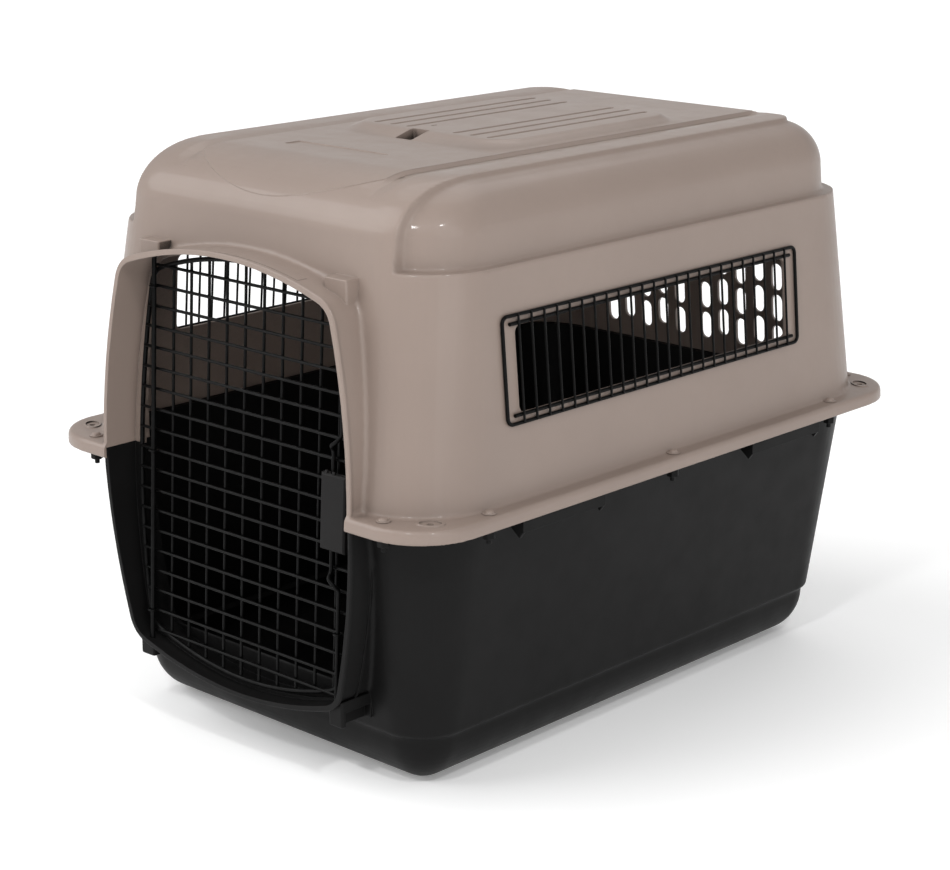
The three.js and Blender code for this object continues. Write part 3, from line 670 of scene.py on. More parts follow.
PANEL_REACH = 500  # the side panels' cutter runs on past both ends of the carrier
FRONT_PANEL_DROP = 50
FRONT_PANEL_BACK = -250


def panel_cutter(extra):
    """Everything outside the inset walls, except across the front and over the roof."""
    top = ROOF_HEIGHT + 20
    above = top + OVERRUN
    band = box("band", (-FAR_X, -PANEL_REACH, LEDGE_HEIGHT - extra), (FAR_X, PANEL_REACH, top))
    half = ROOF_HALF - extra
    front_foot = LEDGE_HEIGHT - FRONT_PANEL_DROP
    front = box("front", (-half, -FAR_Y, front_foot), (half, FRONT_PANEL_BACK, above))
    roof = plate("roof", roof_outline(extra), SHOULDER_HEIGHT + 20, above)
    return cut(band, inset_canopy(extra), front, roof)


# The plateau's half width, front, back and corner radius, at its foot and at its top.
PLATEAU_FOOT = (142, -148, 226, 52)
PLATEAU_TOP = (128, -115, 210, 40)
# Heights and outlines from the plateau's foot (0) to its top (1), with a rounded top edge.
PLATEAU_RINGS = [(0, 0), (0.84, 0.84), (0.93, 0.94), (0.98, 1.05), (1, 1.2)]
PLATEAU_ROOT = 6


def plateau(shell):
    """The raised middle of the roof, its foot sunk into the roof's wall."""
    rise = ROOF_CREST - HAIR - ROOF_HEIGHT

    def level(height, spread):
        half_x, front, back, corner = (a + (b - a) * spread for a, b in zip(PLATEAU_FOOT, PLATEAU_TOP))
        half_y = (back - front) / 2 - shell
        return ring(height - shell, half_x - shell, half_y, corner - shell, (front + back) / 2)

    rings = [level(ROOF_HEIGHT - WALL - PLATEAU_ROOT + shell, 0)]
    rings += [level(ROOF_HEIGHT + rise * up, spread) for up, spread in PLATEAU_RINGS]
    return loft("plateau", rings)


# A groove's section: (share of its depth, or minus a height above its mouth; share of its width).
GROOVE_SECTION = [(-3, 1.15), (0, 1), (0.6, 0.82), (0.9, 0.6), (1, 0.3)]


def groove(x, y0, y1, width, depth):
    """A round-bottomed groove along Y in the plateau."""
    rings = []
    for drop, share in GROOVE_SECTION:
        z = ROOF_CREST - drop * (depth if drop > 0 else 1)
        rings.append([(px, py, z) for px, py in slot_outline(x, (y0 + y1) / 2, width * share, y1 - y0)])
    return loft("groove", rings)


def roof_profile(y):
    """Height of the roof along its length, where it rolls down to the front."""
    reach = ROOF_ROUND + FRONT_ROUND
    start = -HALF_LENGTH + WALL_SHOULDER_INSET + FRONT_LEAN + reach
    share = min(max((start - y) / reach, 0), 1)
    return SHOULDER_HEIGHT + ROOF_ROUND * math.sqrt(1 - share * share)


VALLEY = {"front": -374, "back": 362, "depth": 4.2, "front_fade": 45, "back_fade": 30}


def rail_valley(side):
    """The valley inside a side rail: steep on the roof's side, gentle on the rail's, fading at both ends."""
    first, last, depth, front_fade, back_fade = VALLEY.values()
    steps = 46
    rings = []
    for i in range(steps + 1):
        y = first + (last - first) * i / steps
        deep = depth * min(1, (y - first) / front_fade, (last - y) / back_fade)
        z = roof_profile(y)
        section = [(-5, 0.6), (0, 0.4 - deep), (4, 0.5 - deep), (24, 0.6), (24, 12), (-5, 12)]
        rings.append([(side * (RAIL_GROOVE + across), y, z + up) for across, up in section])
    return loft("valley", rings)


GROOVES_X = (40, 68, 96)
NAME_FIELD = ((-92, -264, ROOF_HEIGHT - 0.3), (62, -238, ROOF_HEIGHT + 8))


def roof_cutters():
    """The plateau's grooves and small dents, the rails' valleys and the plain field on the front."""
    tools = []
    for side in (-1, 1):
        tools.append(rail_valley(side))
        tools += [groove(side * x, -106, 196, 8, 2.2) for x in GROOVES_X]
    tools.append(groove(-22, -81, -71, 4, 1.6))
    tools.append(groove(-37, 162, 174, 5, 1.6))
    tools.append(soft_box("name_field", *NAME_FIELD, 0.8))
    return tools


FIELD_REAR = 345
FIELD_ARC = {"y": -292, "reach": 94, "half_width": 175}
FIELD_RISE = 0.9


def roof_field():
    """The roof between its rails stands a little proud, and ends at the front in a wide arc."""
    half = RAIL_GROOVE - 4
    arc_y, reach, half_width = FIELD_ARC.values()
    steps = 60
    outline = [(half, FIELD_REAR), (-half, FIELD_REAR)]
    for i in range(steps + 1):
        x = half * (2 * i / steps - 1)
        outline.append((x, arc_y - reach * math.sqrt(1 - (x / half_width) ** 2)))
    return keep(canopy(-FIELD_RISE, "field"), plate("outline", outline, 640, 730))


WINDOW = {"half_length": 254.5, "half_height": 50, "corner": 9, "y": -18.5, "z": 499}
WINDOW_CUTS = ((-340, -230), (230, 340))  # through the left wall and the right one


def windows():
    """Cutters for the long window in each side."""
    half_length, half_height, corner, middle_y, middle_z = WINDOW.values()
    level = ring(0, half_length, half_height, corner, steps=6)
    outline = [(y + middle_y, z + middle_z) for y, z, _ in level]
    return [slab_across("window", outline, x0, x1) for x0, x1 in WINDOW_CUTS]


REAR_SLOT = {"first_x": 23, "pitch_x": 31, "first_z": 386, "pitch_z": 44, "stagger": 9}
REAR_SLOT_SIZE = (18, 38)
REAR_SLOT_CUT = (380, 460)  # from inside the rear wall to outside it


def rear_slots():
    """Cutters for the rear wall's slots, every second column raised."""
    first_x, pitch_x, first_z, pitch_z, stagger = REAR_SLOT.values()
    tools = []
    for side in (-1, 1):
        for column in range(5):
            for row in range(4):
                x = side * (first_x + column * pitch_x)
                z = first_z + row * pitch_z + (column % 2) * stagger
                tools.append(slab("rear_slot", slot_outline(x, z, *REAR_SLOT_SIZE), *REAR_SLOT_CUT))
    return tools


POCKET = {"left": -23, "right": 5, "front": -144, "back": -110}
POCKET_FLOOR = ROOF_HEIGHT - 9
POCKET_WALL = 3


def pocket_block(grow, foot, head):
    """The handle pocket's block, grown sideways by a wall."""
    left, right, front, back = POCKET.values()
    return soft_box("pocket", (left - grow, front - grow, foot), (right + grow, back + grow, head), 0.8, 3)


def handle_pocket_wall():
    """The pocket's own walls and floor, kept just inside the outer surface."""
    block = pocket_block(POCKET_WALL, POCKET_FLOOR - POCKET_WALL, ROOF_CREST)
    return keep(block, add(canopy(0.3), plateau(0.3)))


# The flange with its rounded top edge: (height, drawn in by).
FLANGE_LEVELS = [(FLANGE_FOOT, 0), (FLANGE_TOP - 4, 0.6), (FLANGE_TOP - 1.2, 2), (FLANGE_TOP, 4.5)]


def flange_ring(height, inset):
    """The flange's outline, drawn in."""
    return ring(height, HALF_WIDTH - inset, HALF_LENGTH - inset, FLANGE_CORNER - inset)


def flange_solid():
    """The top shell's flange and skirt, still solid."""
    return loft("flange", [flange_ring(height, pulled) for height, pulled in FLANGE_LEVELS])


def flange_hollow():
    """The space under the flange, inside its skirt."""
    return loft("under", [flange_ring(z, SKIRT_WALL) for z in (FLANGE_FOOT - OVERRUN, JOINT)])


HOOD_BAND_REACH = ((-118, -FAR_Y, 560), (118, -300, 660))
HOOD_BAND = (BEAD - 0.35, HOOD_FRONT + 20, HOOD_FRONT + 34)  # drawn in by, front and back


def hood_band():
    """The raised plain band on top of the hood, behind its rim."""
    return keep(hood_slab("band", *HOOD_BAND), box("reach", *HOOD_BAND_REACH))


TIE_RIM_STRETCH = 1.5
TIE_RIM_TURN = 0.6
TIE_RIM = [(FLANGE_TOP - 2, 12), (FLANGE_TOP + 1.4, 10.6)]
TIE_HOLLOW = [(FLANGE_TOP - 0.4, 8.6), (FLANGE_TOP + 5, 8.6)]


def oval_post(x, y, levels, turn, steps=32):
    """An upright oval post turned about its middle; each level is (height, half width)."""
    rings = []
    for z, half in levels:
        points = []
        for i in range(steps):
            angle = i / steps * math.tau
            u, v = half * TIE_RIM_STRETCH * math.cos(angle), half * math.sin(angle)
            px = x + u * math.cos(turn) - v * math.sin(turn)
            py = y + u * math.sin(turn) + v * math.cos(turn)
            points.append((px, py, z))
        rings.append(points)
    return loft("oval_post", rings)


def tie_hole_rims():
    """Raised oval rims round the four tie holes, hollowed inside."""
    rims, hollows = [], []
    for x, y in TIE_HOLES:
        turn = math.copysign(TIE_RIM_TURN, -x * y)
        rims.append(oval_post(x, y, TIE_RIM, turn))
        hollows.append(oval_post(x, y, TIE_HOLLOW, turn))
    return rims, hollows


UPPER_HOOD = [(0, BEAD), (68, BEAD)]
UPPER_LINER = (-440, -392)


def top_shell():
    """Softened outer form first, then the crisp rim, roof and sockets, then the hollows."""
    body = cut(canopy(0), panel_cutter(0))
    hood = keep(hood_layers("hood", True, UPPER_HOOD), above_joint())
    add(body, flange_solid(), hood)
    slimmed(soften(body, 3), BASE_TRIANGLES)
    rim = keep(hood_layers("rim", True, RIM), above_joint())
    add(body, plateau(0), roof_field(), rim, hood_band(), *socket_blocks(UPPER_SOCKET))
    hollow = add(cut(canopy(WALL), panel_cutter(WALL)), plateau(WALL))
    cut(body, *roof_cutters(), hollow, flange_hollow(), hood_slab("tunnel", HOOD_WALL, -FAR_Y, TUNNEL_BACK))
    rims, hollows = tie_hole_rims()
    liner = keep(hood_liner(*UPPER_LINER), above_joint())
    add(body, liner, landing(JOINT, 700), handle_pocket_wall(), *rims)
    pocket = pocket_block(0, POCKET_FLOOR, ROOF_CREST + 5)
    cut(body, pocket, *hollows, *windows(), *rear_slots())
    cut(body, *socket_bores(UPPER_SOCKET), *flange_bores())
    return shade(slimmed(body, MOST_TRIANGLES))


# ---- wires ----
WIRE_EDGE_ANGLE = 50


def wires(name, paths):
    """Round wires along lines of points; each path is (points, radius, closed)."""
    whole = bmesh.new()
    for points, radius, closed in paths:
        curve = bpy.data.curves.new(name, "CURVE")
        curve.dimensions = "3D"
        curve.bevel_depth = radius * MM
        curve.bevel_resolution = 3
        curve.use_fill_caps = True
        spline = curve.splines.new("POLY")
        spline.points.add(len(points) - 1)
        for target, p in zip(spline.points, points):
            target.co = (*(Vector(p) * MM), 1)
        spline.use_cyclic_u = closed
        spline.use_smooth = True
        strand = in_scene(name, curve)
        mesh = evaluated_mesh(strand)
        bpy.data.objects.remove(strand)
        whole.from_mesh(mesh)
        bpy.data.meshes.remove(mesh)
    joined = bpy.data.meshes.new(name)
    whole.to_mesh(joined)
    whole.free()
    joined.shade_smooth()
    joined.set_sharp_from_angle(angle=math.radians(WIRE_EDGE_ANGLE))
    return in_scene(name, joined)


def rounded(points, radius, steps=5):
    """The same line with its inner corners rounded."""
    points = [Vector(p) for p in points]
    out = [points[0]]
    for before, corner, after in zip(points, points[1:], points[2:]):
        back, ahead = before - corner, after - corner
        reach = min(radius, back.length * 0.45, ahead.length * 0.45)
        start, end = corner + back.normalized() * reach, corner + ahead.normalized() * reach
        out += [Vector(p) for p in bezier(tuple(start), tuple(corner), tuple(end), steps)]
        out.append(end)
    out.append(points[-1])
    return out


GUIDE_RADIUS = 1.3
GUIDE_CLEARANCE = 1.7
WIRE_ROWS = range(-11, 8)
WIRE_COLUMNS = 10
HINGE_GUIDE_ROWS = (6, -2, -10)
LATCH_GUIDE_ROWS = (5, -8)


def rod_guide(x, out, rod_radius, row):
    """A bent wire guide that keeps a rod beside the door."""
    z = DOOR_DATUM + row * WIRE_PITCH
    reach = rod_radius + GUIDE_CLEARANCE
    near, far = CROSS_OFFSET, out + reach
    corners = [(x - reach, near), (x - reach, far), (x + reach, far), (x + reach, near)]
    return rounded([on_door(px, front, z) for px, front in corners], 4), GUIDE_RADIUS, False


def door_panel():
    """The frame wire, the level wires in front of the upright ones, and the rods' guides."""
    frame_line = [on_door(x, 0, z) for x, z in barrel_outline(FRAME, 14)]
    paths = [(frame_line, FRAME_RADIUS, True)]
    for row in WIRE_ROWS:
        z = DOOR_DATUM + row * WIRE_PITCH
        half = barrel_half_width(FRAME, z - DOOR_MIDDLE)
        paths.append(([on_door(-half, CROSS_OFFSET, z), on_door(half, CROSS_OFFSET, z)], WIRE_RADIUS, False))
    for column in range(WIRE_COLUMNS):
        x = FIRST_COLUMN + column * COLUMN_PITCH
        half = barrel_half_height(FRAME, x)
        ends = [on_door(x, -CROSS_OFFSET, DOOR_MIDDLE + side * half) for side in (-1, 1)]
        paths.append((ends, WIRE_RADIUS, False))
    for row in HINGE_GUIDE_ROWS:
        paths.append(rod_guide(HINGE_X, HINGE_OUT, HINGE_ROD_RADIUS, row))
    for row in LATCH_GUIDE_ROWS:
        paths.append(rod_guide(LATCH_X, LATCH_OUT, LATCH_ROD_RADIUS, row))
    return wires("door_wires", paths)


HINGE_ROD_ENDS = (95.5, 599.5)


def hinge_rod():
    """The long straight rod from the upper socket to the lower one."""
    ends = [on_door(HINGE_X, HINGE_OUT, z) for z in HINGE_ROD_ENDS]
    return wires("hinge_rod", [(ends, HINGE_ROD_RADIUS, False)])


# Each latch rod's heights: its end in the housing, the start of its finger pull, and its tip.
UPPER_ROD = (368, 410, 577)
LOWER_ROD = (308, 266, 113)
PULL_OUT = 7
PULL_BEND = 6
PULL_LEAN = 2


def latch_rod(name, inner, pull, tip):
    """Out of the housing, a bent finger pull, then straight towards the socket."""
    bend = math.copysign(PULL_BEND, tip - inner)
    corners = [
        (LATCH_INNER_X, LATCH_OUT, inner),
        (LATCH_INNER_X, LATCH_OUT, pull),
        (LATCH_INNER_X + PULL_LEAN, LATCH_OUT + PULL_OUT, pull + bend),
        (LATCH_X - PULL_LEAN, LATCH_OUT + PULL_OUT, pull + 2 * bend),
        (LATCH_X, LATCH_OUT, pull + 3 * bend),
        (LATCH_X, LATCH_OUT, tip),
    ]
    return wires(name, [(rounded([on_door(*c) for c in corners], 5), LATCH_ROD_RADIUS, False)])


COIL = {"turns": 6, "radius": 2.4, "low": 311.6, "high": 365.4}
COIL_WIRE_RADIUS = 0.6


def latch_spring():
    """The small coil between the two latch rods."""
    turns, radius, low, high = COIL.values()
    per_turn = 16
    points = []
    for i in range(turns * per_turn + 1):
        angle = i / per_turn * math.tau
        height = low + (high - low) * i / (turns * per_turn)
        x = LATCH_INNER_X + radius * math.cos(angle)
        points.append(on_door(x, LATCH_OUT + radius * math.sin(angle), height))
    return wires("latch_spring_coil", [(points, COIL_WIRE_RADIUS, False)])


def door_box(name, low, high, chamfer=0.0):
    """A block square to the leaning door, its corners (across, height, out) and its front chamfered."""
    (ax, az, a_out), (bx, bz, b_out) = low, high
    rings = []
    for out, pulled in ((a_out, 0), (b_out - chamfer, 0), (b_out, chamfer)):
        x0, x1, z0, z1 = ax + pulled, bx - pulled, az + pulled, bz - pulled
        rings.append([on_door(x, out, z) for x, z in ((x0, z0), (x1, z0), (x1, z1), (x0, z1))])
    return loft(name, rings if chamfer else [rings[0], rings[2]])


CASE = {"left": 142, "right": 182, "foot": 293, "head": 383, "front": 13.5, "back": 4.3, "wall": 2.5}
CASE_CHAMFER = 2.2
NOTCH_HALF = 3.2
STUD_OFFSET = 6


def latch_housing():
    """A shallow case on the door, notched for both rods, with two studs on its head."""
    x0, x1, z0, z1, front, back, wall = CASE.values()
    shell = door_box("housing", (x0, z0, back), (x1, z1, front), CASE_CHAMFER)
    cut(shell, door_box("inside", (x0 + wall, z0 + wall, 0), (x1 - wall, z1 - wall, front - wall)))
    notch_low = (LATCH_INNER_X - NOTCH_HALF, z0 - 5, 0)
    notch_high = (LATCH_INNER_X + NOTCH_HALF, z1 + 5, LATCH_OUT + NOTCH_HALF)
    cut(shell, door_box("notch", notch_low, notch_high))
    for x in (LATCH_INNER_X - STUD_OFFSET, LATCH_INNER_X + STUD_OFFSET):
        add(shell, door_box("stud", (x - 2, z1 - 1, 10.2), (x + 2, z1 + 3, 12.7), 0.6))
    round_edges = shell.modifiers.new("round_edges", "BEVEL")
    round_edges.width = 0.5 * MM
    round_edges.segments = 2
    round_edges.limit_method = "ANGLE"
    apply_modifiers(shell)
    return shade(shell, 40)


# ---- side window grilles ----
GRILLE_WIRES = 24
GRILLE_SPAN = 502
GRILLE_WIRE_RADIUS = 1.5
GRILLE_WIRE_OUT = 4.9
GRILLE_WIRE_INSET = 1.8
GRILLE_FRAME_RADIUS = 2.2
GRILLE_FRAME_OUT = 2.6
GRILLE_FRAME_INSET = 2.4
GRILLE_CORNER = 8
GRILLE_BAR_HEIGHT = 52
GRILLE_BAR_INSET = 14


def window_grille(side):
    """A frame wire, two long bars and a row of upright wires, on the wall's slope."""
    name = "right" if side > 0 else "left"
    low, high = (millimetres(c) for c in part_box("window_grille_" + name))
    middle_y, middle_z = (low.y + high.y) / 2, (low.z + high.z) / 2
    half_y, half_z = (high.y - low.y) / 2, (high.z - low.z) / 2
    slope = math.atan2(WALL_LEDGE_INSET - WALL_FOOT_INSET, LEDGE_HEIGHT - JOINT)
    inset = WALL_FOOT_INSET + (middle_z - JOINT) * math.tan(slope)

    def place(out, along, up):
        x = HALF_WIDTH - inset + out * math.cos(slope) - up * math.sin(slope)
        z = middle_z + up * math.cos(slope) + out * math.sin(slope)
        return side * x, middle_y + along, z

    half_length, half_height = half_y - GRILLE_FRAME_RADIUS, half_z - GRILLE_FRAME_INSET
    outline = ring(0, half_length, half_height, GRILLE_CORNER, steps=6)
    frame_line = [place(GRILLE_FRAME_OUT, along, up) for along, up, _ in outline]
    paths = [(frame_line, GRILLE_FRAME_RADIUS, True)]
    for i in range(GRILLE_WIRES):
        along = -GRILLE_SPAN / 2 + i * GRILLE_SPAN / (GRILLE_WIRES - 1)
        ends = [place(GRILLE_WIRE_OUT, along, up * (half_z - GRILLE_WIRE_INSET)) for up in (-1, 1)]
        paths.append((ends, GRILLE_WIRE_RADIUS, False))
    reach = half_y - GRILLE_BAR_INSET
    for up in (-GRILLE_BAR_HEIGHT, GRILLE_BAR_HEIGHT):
        ends = [place(GRILLE_FRAME_OUT, along, up) for along in (-reach, reach)]
        paths.append((ends, GRILLE_FRAME_RADIUS, False))
    return wires("window_wires_" + name, paths)


# ---- fasteners ----
SHANK_RADIUS = 3
# The bolt's washer: (radius, height above the flange).
WASHER = [(8.3, 0), (8.4, 0.7), (7.6, 1.3), (6, 1.1)]
DOME = (5.9, 1.1, 3.4)  # radius, foot above the flange and height
NUT_RADIUS = 7.6
NUT_FACE_RADIUS = 6.9
NUT_CHAMFER = 0.7
BOLT_END = [(2.4, -6), (3, -5.4), (3, 1)]


def bolt(name):
    """A low dome on a washer, with its shank through both flanges."""
    x, y = fastener_place(name)
    head = FLANGE_TOP + GAP
    profile = [(SHANK_RADIUS, FLANGE_FOOT - 10), (SHANK_RADIUS, head)]
    profile += [(radius, head + up) for radius, up in WASHER]
    radius, foot, height = DOME
    steps = 9
    for i in range(1, steps):
        angle = i / steps * math.pi / 2
        profile.append((radius * math.cos(angle), head + foot + height * math.sin(angle)))
    return shade(turned("bolt_" + name, x, y, profile), 40)


def nut(name):
    """A six-sided nut, closed below by the dark end of the bolt it holds."""
    low, high = (millimetres(c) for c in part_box("shell_nut_" + name))
    x, y = (low.x + high.x) / 2, (low.y + high.y) / 2
    profile = [(NUT_FACE_RADIUS, low.z), (NUT_RADIUS, low.z + NUT_CHAMFER)]
    profile += [(NUT_RADIUS, high.z - NUT_CHAMFER), (NUT_FACE_RADIUS, high.z)]
    piece = turned("nut_" + name, x, y, profile, 6)
    add(piece, turned("bolt_end", x, y, [(radius, low.z + up) for radius, up in BOLT_END]))
    cut(piece, post(x, y, low.z + 1.5, high.z + 5, BOLT_BORE))
    return shade(piece, 40)


# ---- materials ----
def new_material(name):
    """A material with its node tree and its shader."""
    material = bpy.data.materials.new(name)
    material.use_nodes = True
    tree = material.node_tree
    return material, tree, tree.nodes["Principled BSDF"]


def set_inputs(node, **values):
    """Sets a node's inputs by name; an underscore stands for a space."""
    for name, value in values.items():
        node.inputs[name.replace("_", " ")].default_value = value


def noise(tree, scale, detail=2.0, roughness=0.5):
    """Noise fixed to the piece, from 0 to 1."""
    place = tree.nodes.new("ShaderNodeTexCoord")
    texture = tree.nodes.new("ShaderNodeTexNoise")
    set_inputs(texture, Scale=scale, Detail=detail, Roughness=roughness)
    tree.links.new(place.outputs["Object"], texture.inputs["Vector"])
    return texture.outputs["Fac"]


def ramp(tree, factor, stops):
    """Maps a factor to greys between two stops, each (position, grey)."""
    node = tree.nodes.new("ShaderNodeValToRGB")
    first, last = node.color_ramp.elements[0], node.color_ramp.elements[-1]
    for element, (position, value) in zip((first, last), stops):
        element.position = position
        element.color = (value, value, value, 1)
    tree.links.new(factor, node.inputs["Fac"])
    return node.outputs["Color"]


def mix(tree, factor, a, b, mode="MIX"):
    """Blends two colours; each input is a value or another node's output."""
    node = tree.nodes.new("ShaderNodeMix")
    node.data_type = "RGBA"
    node.blend_type = mode
    for socket, value in ((node.inputs["Factor"], factor), (node.inputs["A"], a), (node.inputs["B"], b)):
        if isinstance(value, bpy.types.NodeSocket):
            tree.links.new(value, socket)
        elif socket.type == "RGBA":
            socket.default_value = (*value, 1)
        else:
            socket.default_value = value
    return node.outputs["Result"]


def edge_factor(tree, radius):
    """One along convex and concave edges, zero on flat faces."""
    bevel = tree.nodes.new("ShaderNodeBevel")
    bevel.samples = 4
    set_inputs(bevel, Radius=radius * MM)
    geometry = tree.nodes.new("ShaderNodeNewGeometry")
    dot = tree.nodes.new("ShaderNodeVectorMath")
    dot.operation = "DOT_PRODUCT"
    tree.links.new(bevel.outputs["Normal"], dot.inputs[0])
    tree.links.new(geometry.outputs["Normal"], dot.inputs[1])
    return ramp(tree, dot.outputs["Value"], ((0.9, 1.0), (0.995, 0.0))), bevel.outputs["Normal"]


def painted_enclosure_shade(tree):
    """Painted shade from ambient occlusion: dark where a moulding's own walls close it in and in its creases,
    one on its open outer faces.
    """
    occlusion = tree.nodes.new("ShaderNodeAmbientOcclusion")
    occlusion.samples = 8
    occlusion.only_local = True
    set_inputs(occlusion, Distance=1.0)
    return ramp(tree, occlusion.outputs["AO"], ((0.28, 0.05), (0.42, 1.0)))


BUMP_DEPTH = 0.3
WORN_EDGE = 1.4


def fine_bump(tree, shader, scale, detail, roughness, strength):
    """Gives a shader a shallow bump from fine noise, and returns the bump's node."""
    bump = tree.nodes.new("ShaderNodeBump")
    set_inputs(bump, Strength=strength, Distance=BUMP_DEPTH * MM)
    tree.links.new(noise(tree, scale, detail, roughness), bump.inputs["Height"])
    tree.links.new(bump.outputs["Normal"], shader.inputs["Normal"])
    return bump


def plastic(name, colours, roughness, grain, specular, coat):
    """Moulded plastic: fine grain, slow colour drift, uneven gloss, edges rubbed lighter, and painted shade
    where the moulding closes itself in.
    """
    colour, shade_colour, worn = colours
    material, tree, shader = new_material(name)
    drift = ramp(tree, noise(tree, 5, 3), ((0.35, 0.0), (0.65, 1.0)))
    mottle = ramp(tree, noise(tree, 90, 4, 0.6), ((0.4, 0.0), (0.75, 0.35)))
    base = mix(tree, drift, colour, shade_colour)
    base = mix(tree, mottle, base, tuple(c * 0.93 for c in colour))
    edges, soft_normal = edge_factor(tree, WORN_EDGE)
    patches = ramp(tree, noise(tree, 40, 3), ((0.4, 0.05), (0.7, 0.5)))
    rubbed = mix(tree, edges, (0, 0, 0), patches)
    finished = mix(tree, rubbed, base, worn)
    # The base colour is multiplied by painted shade: darker inside the moulding and in its creases.
    tree.links.new(mix(tree, 1.0, finished, painted_enclosure_shade(tree), "MULTIPLY"), shader.inputs["Base Color"])
    set_inputs(shader, Coat_Weight=coat, Coat_Roughness=0.1, Specular_IOR_Level=specular)
    gloss = ramp(tree, noise(tree, 22, 4, 0.6), ((0.3, roughness - 0.05), (0.7, roughness + 0.06)))
    tree.links.new(gloss, shader.inputs["Roughness"])
    bump = fine_bump(tree, shader, 850, 2, 0.6, grain)
    tree.links.new(soft_normal, bump.inputs["Normal"])
    return material


def coated_wire(name, colour, metallic, roughness, specular):
    """Dipped wire: a smooth dark coating with slight pooling and dust."""
    material, tree, shader = new_material(name)
    dust = ramp(tree, noise(tree, 130, 4, 0.6), ((0.45, 0.0), (0.8, 0.5)))
    lighter = tuple(c * 1.6 + 0.004 for c in colour)
    tree.links.new(mix(tree, dust, colour, lighter), shader.inputs["Base Color"])
    gloss = ramp(tree, noise(tree, 60, 3), ((0.3, roughness - 0.06), (0.7, roughness + 0.1)))
    tree.links.new(gloss, shader.inputs["Roughness"])
    set_inputs(shader, Metallic=metallic, Specular_IOR_Level=specular)
    fine_bump(tree, shader, 240, 3, 0.5, 0.25)
    return material


# Each plastic's colours: its main one, its darker drift, and its rubbed edges.
TAUPE_COLOURS = ((0.250, 0.195, 0.166), (0.234, 0.182, 0.155), (0.38, 0.33, 0.295))
BLACK_COLOURS = ((0.0065, 0.0063, 0.0063), (0.0053, 0.0052, 0.0052), (0.03, 0.03, 0.03))
LATCH_COLOURS = ((0.0100, 0.0092, 0.0092), (0.008, 0.0075, 0.0075), (0.035, 0.035, 0.035))

TAUPE = plastic("taupe_moulding", TAUPE_COLOURS, roughness=0.45, grain=0.10, specular=0.3, coat=0.2)
BLACK = plastic("black_moulding", BLACK_COLOURS, roughness=0.46, grain=0.22, specular=0.10, coat=0)
LATCH_PLASTIC = plastic("latch_moulding", LATCH_COLOURS, roughness=0.42, grain=0.2, specular=0.12, coat=0)
WIRE = coated_wire("black_coated_wire", (0.0015, 0.0015, 0.0015), metallic=0.0, roughness=0.36, specular=0.10)
SPRING = coated_wire("spring_wire", (0.45, 0.46, 0.47), metallic=1.0, roughness=0.25, specular=0.5)


# ---- assembly ----
def settle(piece, material, slot, body, *nodes):
    """Paints a piece, sets it on its body and hides the CAD nodes it stands for; the slot argument is not
    used.
    """
    piece.data.materials.clear()
    piece.data.materials.append(material)
    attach(piece, body)
    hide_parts(*nodes)
    return piece


settle(bottom_shell(), BLACK, "black_plastic", "shells", "bottom_shell").name = "bottom_moulding"
settle(top_shell(), TAUPE, "taupe_plastic", "shells", "top_shell").name = "top_moulding"
settle(door_panel(), WIRE, "coated_wire", "door", "door_wire_panel")
settle(hinge_rod(), WIRE, "coated_wire", "door", "door_hinge_rod")
settle(latch_housing(), LATCH_PLASTIC, "latch_plastic", "door", "latch_housing").name = "latch_case"
settle(latch_rod("upper_rod", *UPPER_ROD), WIRE, "coated_wire", "upper_latch", "latch_upper_rod")
settle(latch_rod("lower_rod", *LOWER_ROD), WIRE, "coated_wire", "lower_latch", "latch_lower_rod")
settle(latch_spring(), SPRING, "spring_steel", "door", "latch_spring")
settle(window_grille(1), WIRE, "coated_wire", "shells", "window_grille_right")
settle(window_grille(-1), WIRE, "coated_wire", "shells", "window_grille_left")
for fastener in FASTENERS:
    settle(bolt(fastener), TAUPE, "taupe_plastic", "shells", "shell_bolt_" + fastener)
    settle(nut(fastener), BLACK, "black_plastic", "shells", "shell_nut_" + fastener)


# ---- floor and light ----
FLOOR_REACH = 4e4
FLOOR_DROP = 0.5


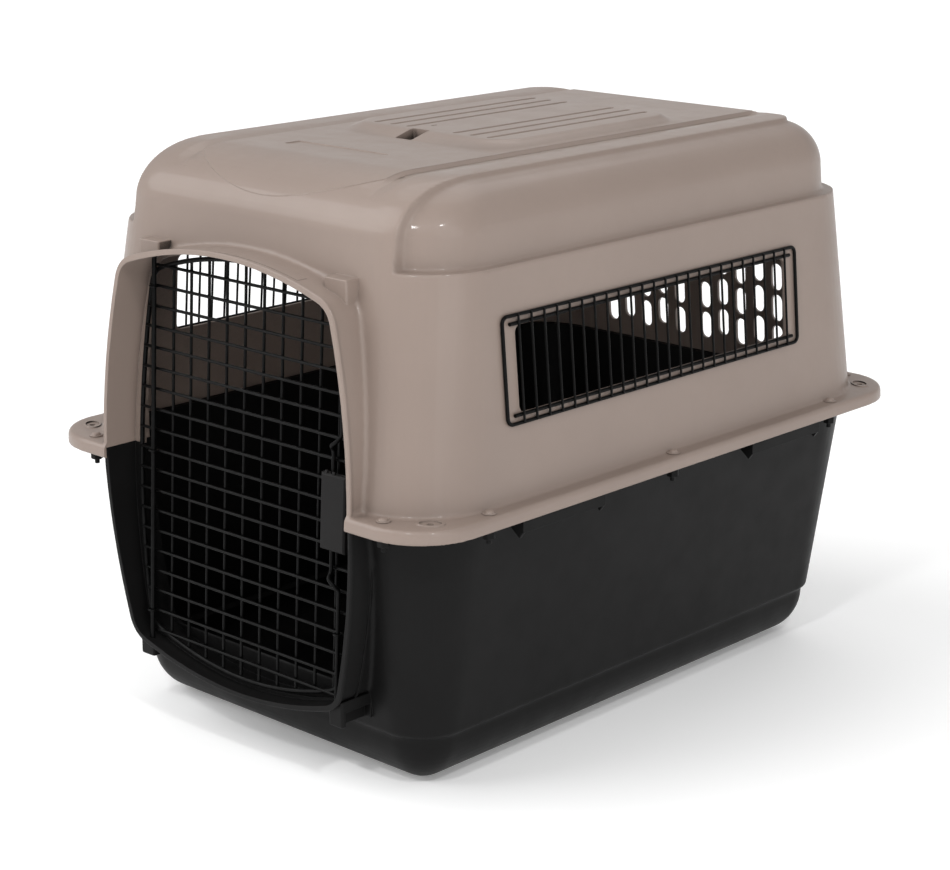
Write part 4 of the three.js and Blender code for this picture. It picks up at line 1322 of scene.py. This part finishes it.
def make_floor():
    """A wide pale floor, a little below the base so that the two never share a face."""
    corners = [(x * FLOOR_REACH, y * FLOOR_REACH, 0) for x, y in ((-1, -1), (1, -1), (1, 1), (-1, 1))]
    floor = mesh_object("floor", corners, [(0, 1, 2, 3)])
    floor.location.z = -FLOOR_DROP * MM
    material, tree, shader = new_material("pale_floor")
    tint = ramp(tree, noise(tree, 0.6, 2), ((0.3, 0.93), (0.7, 0.96)))
    tree.links.new(tint, shader.inputs["Base Color"])
    tree.links.new(tint, shader.inputs["Emission Color"])
    set_inputs(shader, Roughness=0.9, Specular_IOR_Level=0.1, Emission_Strength=0.16)
    floor.data.materials.append(material)


def make_world(overhead, horizon):
    """An even studio sky, as bright as the floor down at the horizon and dimmer overhead."""
    world = bpy.data.worlds.new("studio")
    world.use_nodes = True
    tree = world.node_tree
    place = tree.nodes.new("ShaderNodeTexCoord")
    split = tree.nodes.new("ShaderNodeSeparateXYZ")
    tree.links.new(place.outputs["Generated"], split.inputs["Vector"])
    sky = ramp(tree, split.outputs["Z"], ((0.06, horizon), (0.22, overhead)))
    tree.links.new(sky, tree.nodes["Background"].inputs["Color"])
    bpy.context.scene.world = world


def make_light(name, kind, place, towards, energy, size):
    """A sun, its size an angle, or a round lamp, its size in metres."""
    light = bpy.data.lights.new(name, kind)
    light.energy = energy
    if kind == "SUN":
        light.angle = size
    else:
        light.shape = "DISK"
        light.size = size
    lamp = in_scene(name, light)
    lamp.location = place
    lamp.rotation_euler = (Vector(towards) - Vector(place)).to_track_quat("-Z", "Y").to_euler()


ORIGIN = (0, 0, 0)
make_floor()
make_world(overhead=0.48, horizon=1.0)
make_light("left_soft", "SUN", (-2.6, -2.6, 3.0), ORIGIN, 1.7, math.radians(50))
make_light("back_soft", "SUN", (-1.0, 1.5, 3.0), ORIGIN, 0.6, math.radians(50))
make_light("right_low", "SUN", (3.4, -0.9, 0.8), ORIGIN, 0.5, math.radians(40))
# Two small lamps whose reflections are the bright spots on the roof's front corner.
make_light("spark_left", "AREA", (0.93, -2.24, 2.17), (0.24, -0.36, 0.66), 16, 0.22)
make_light("spark_right", "AREA", (2.0, -1.18, 2.26), (0.26, -0.34, 0.66), 16, 0.22)
bpy.context.scene.view_settings.view_transform = "Standard"
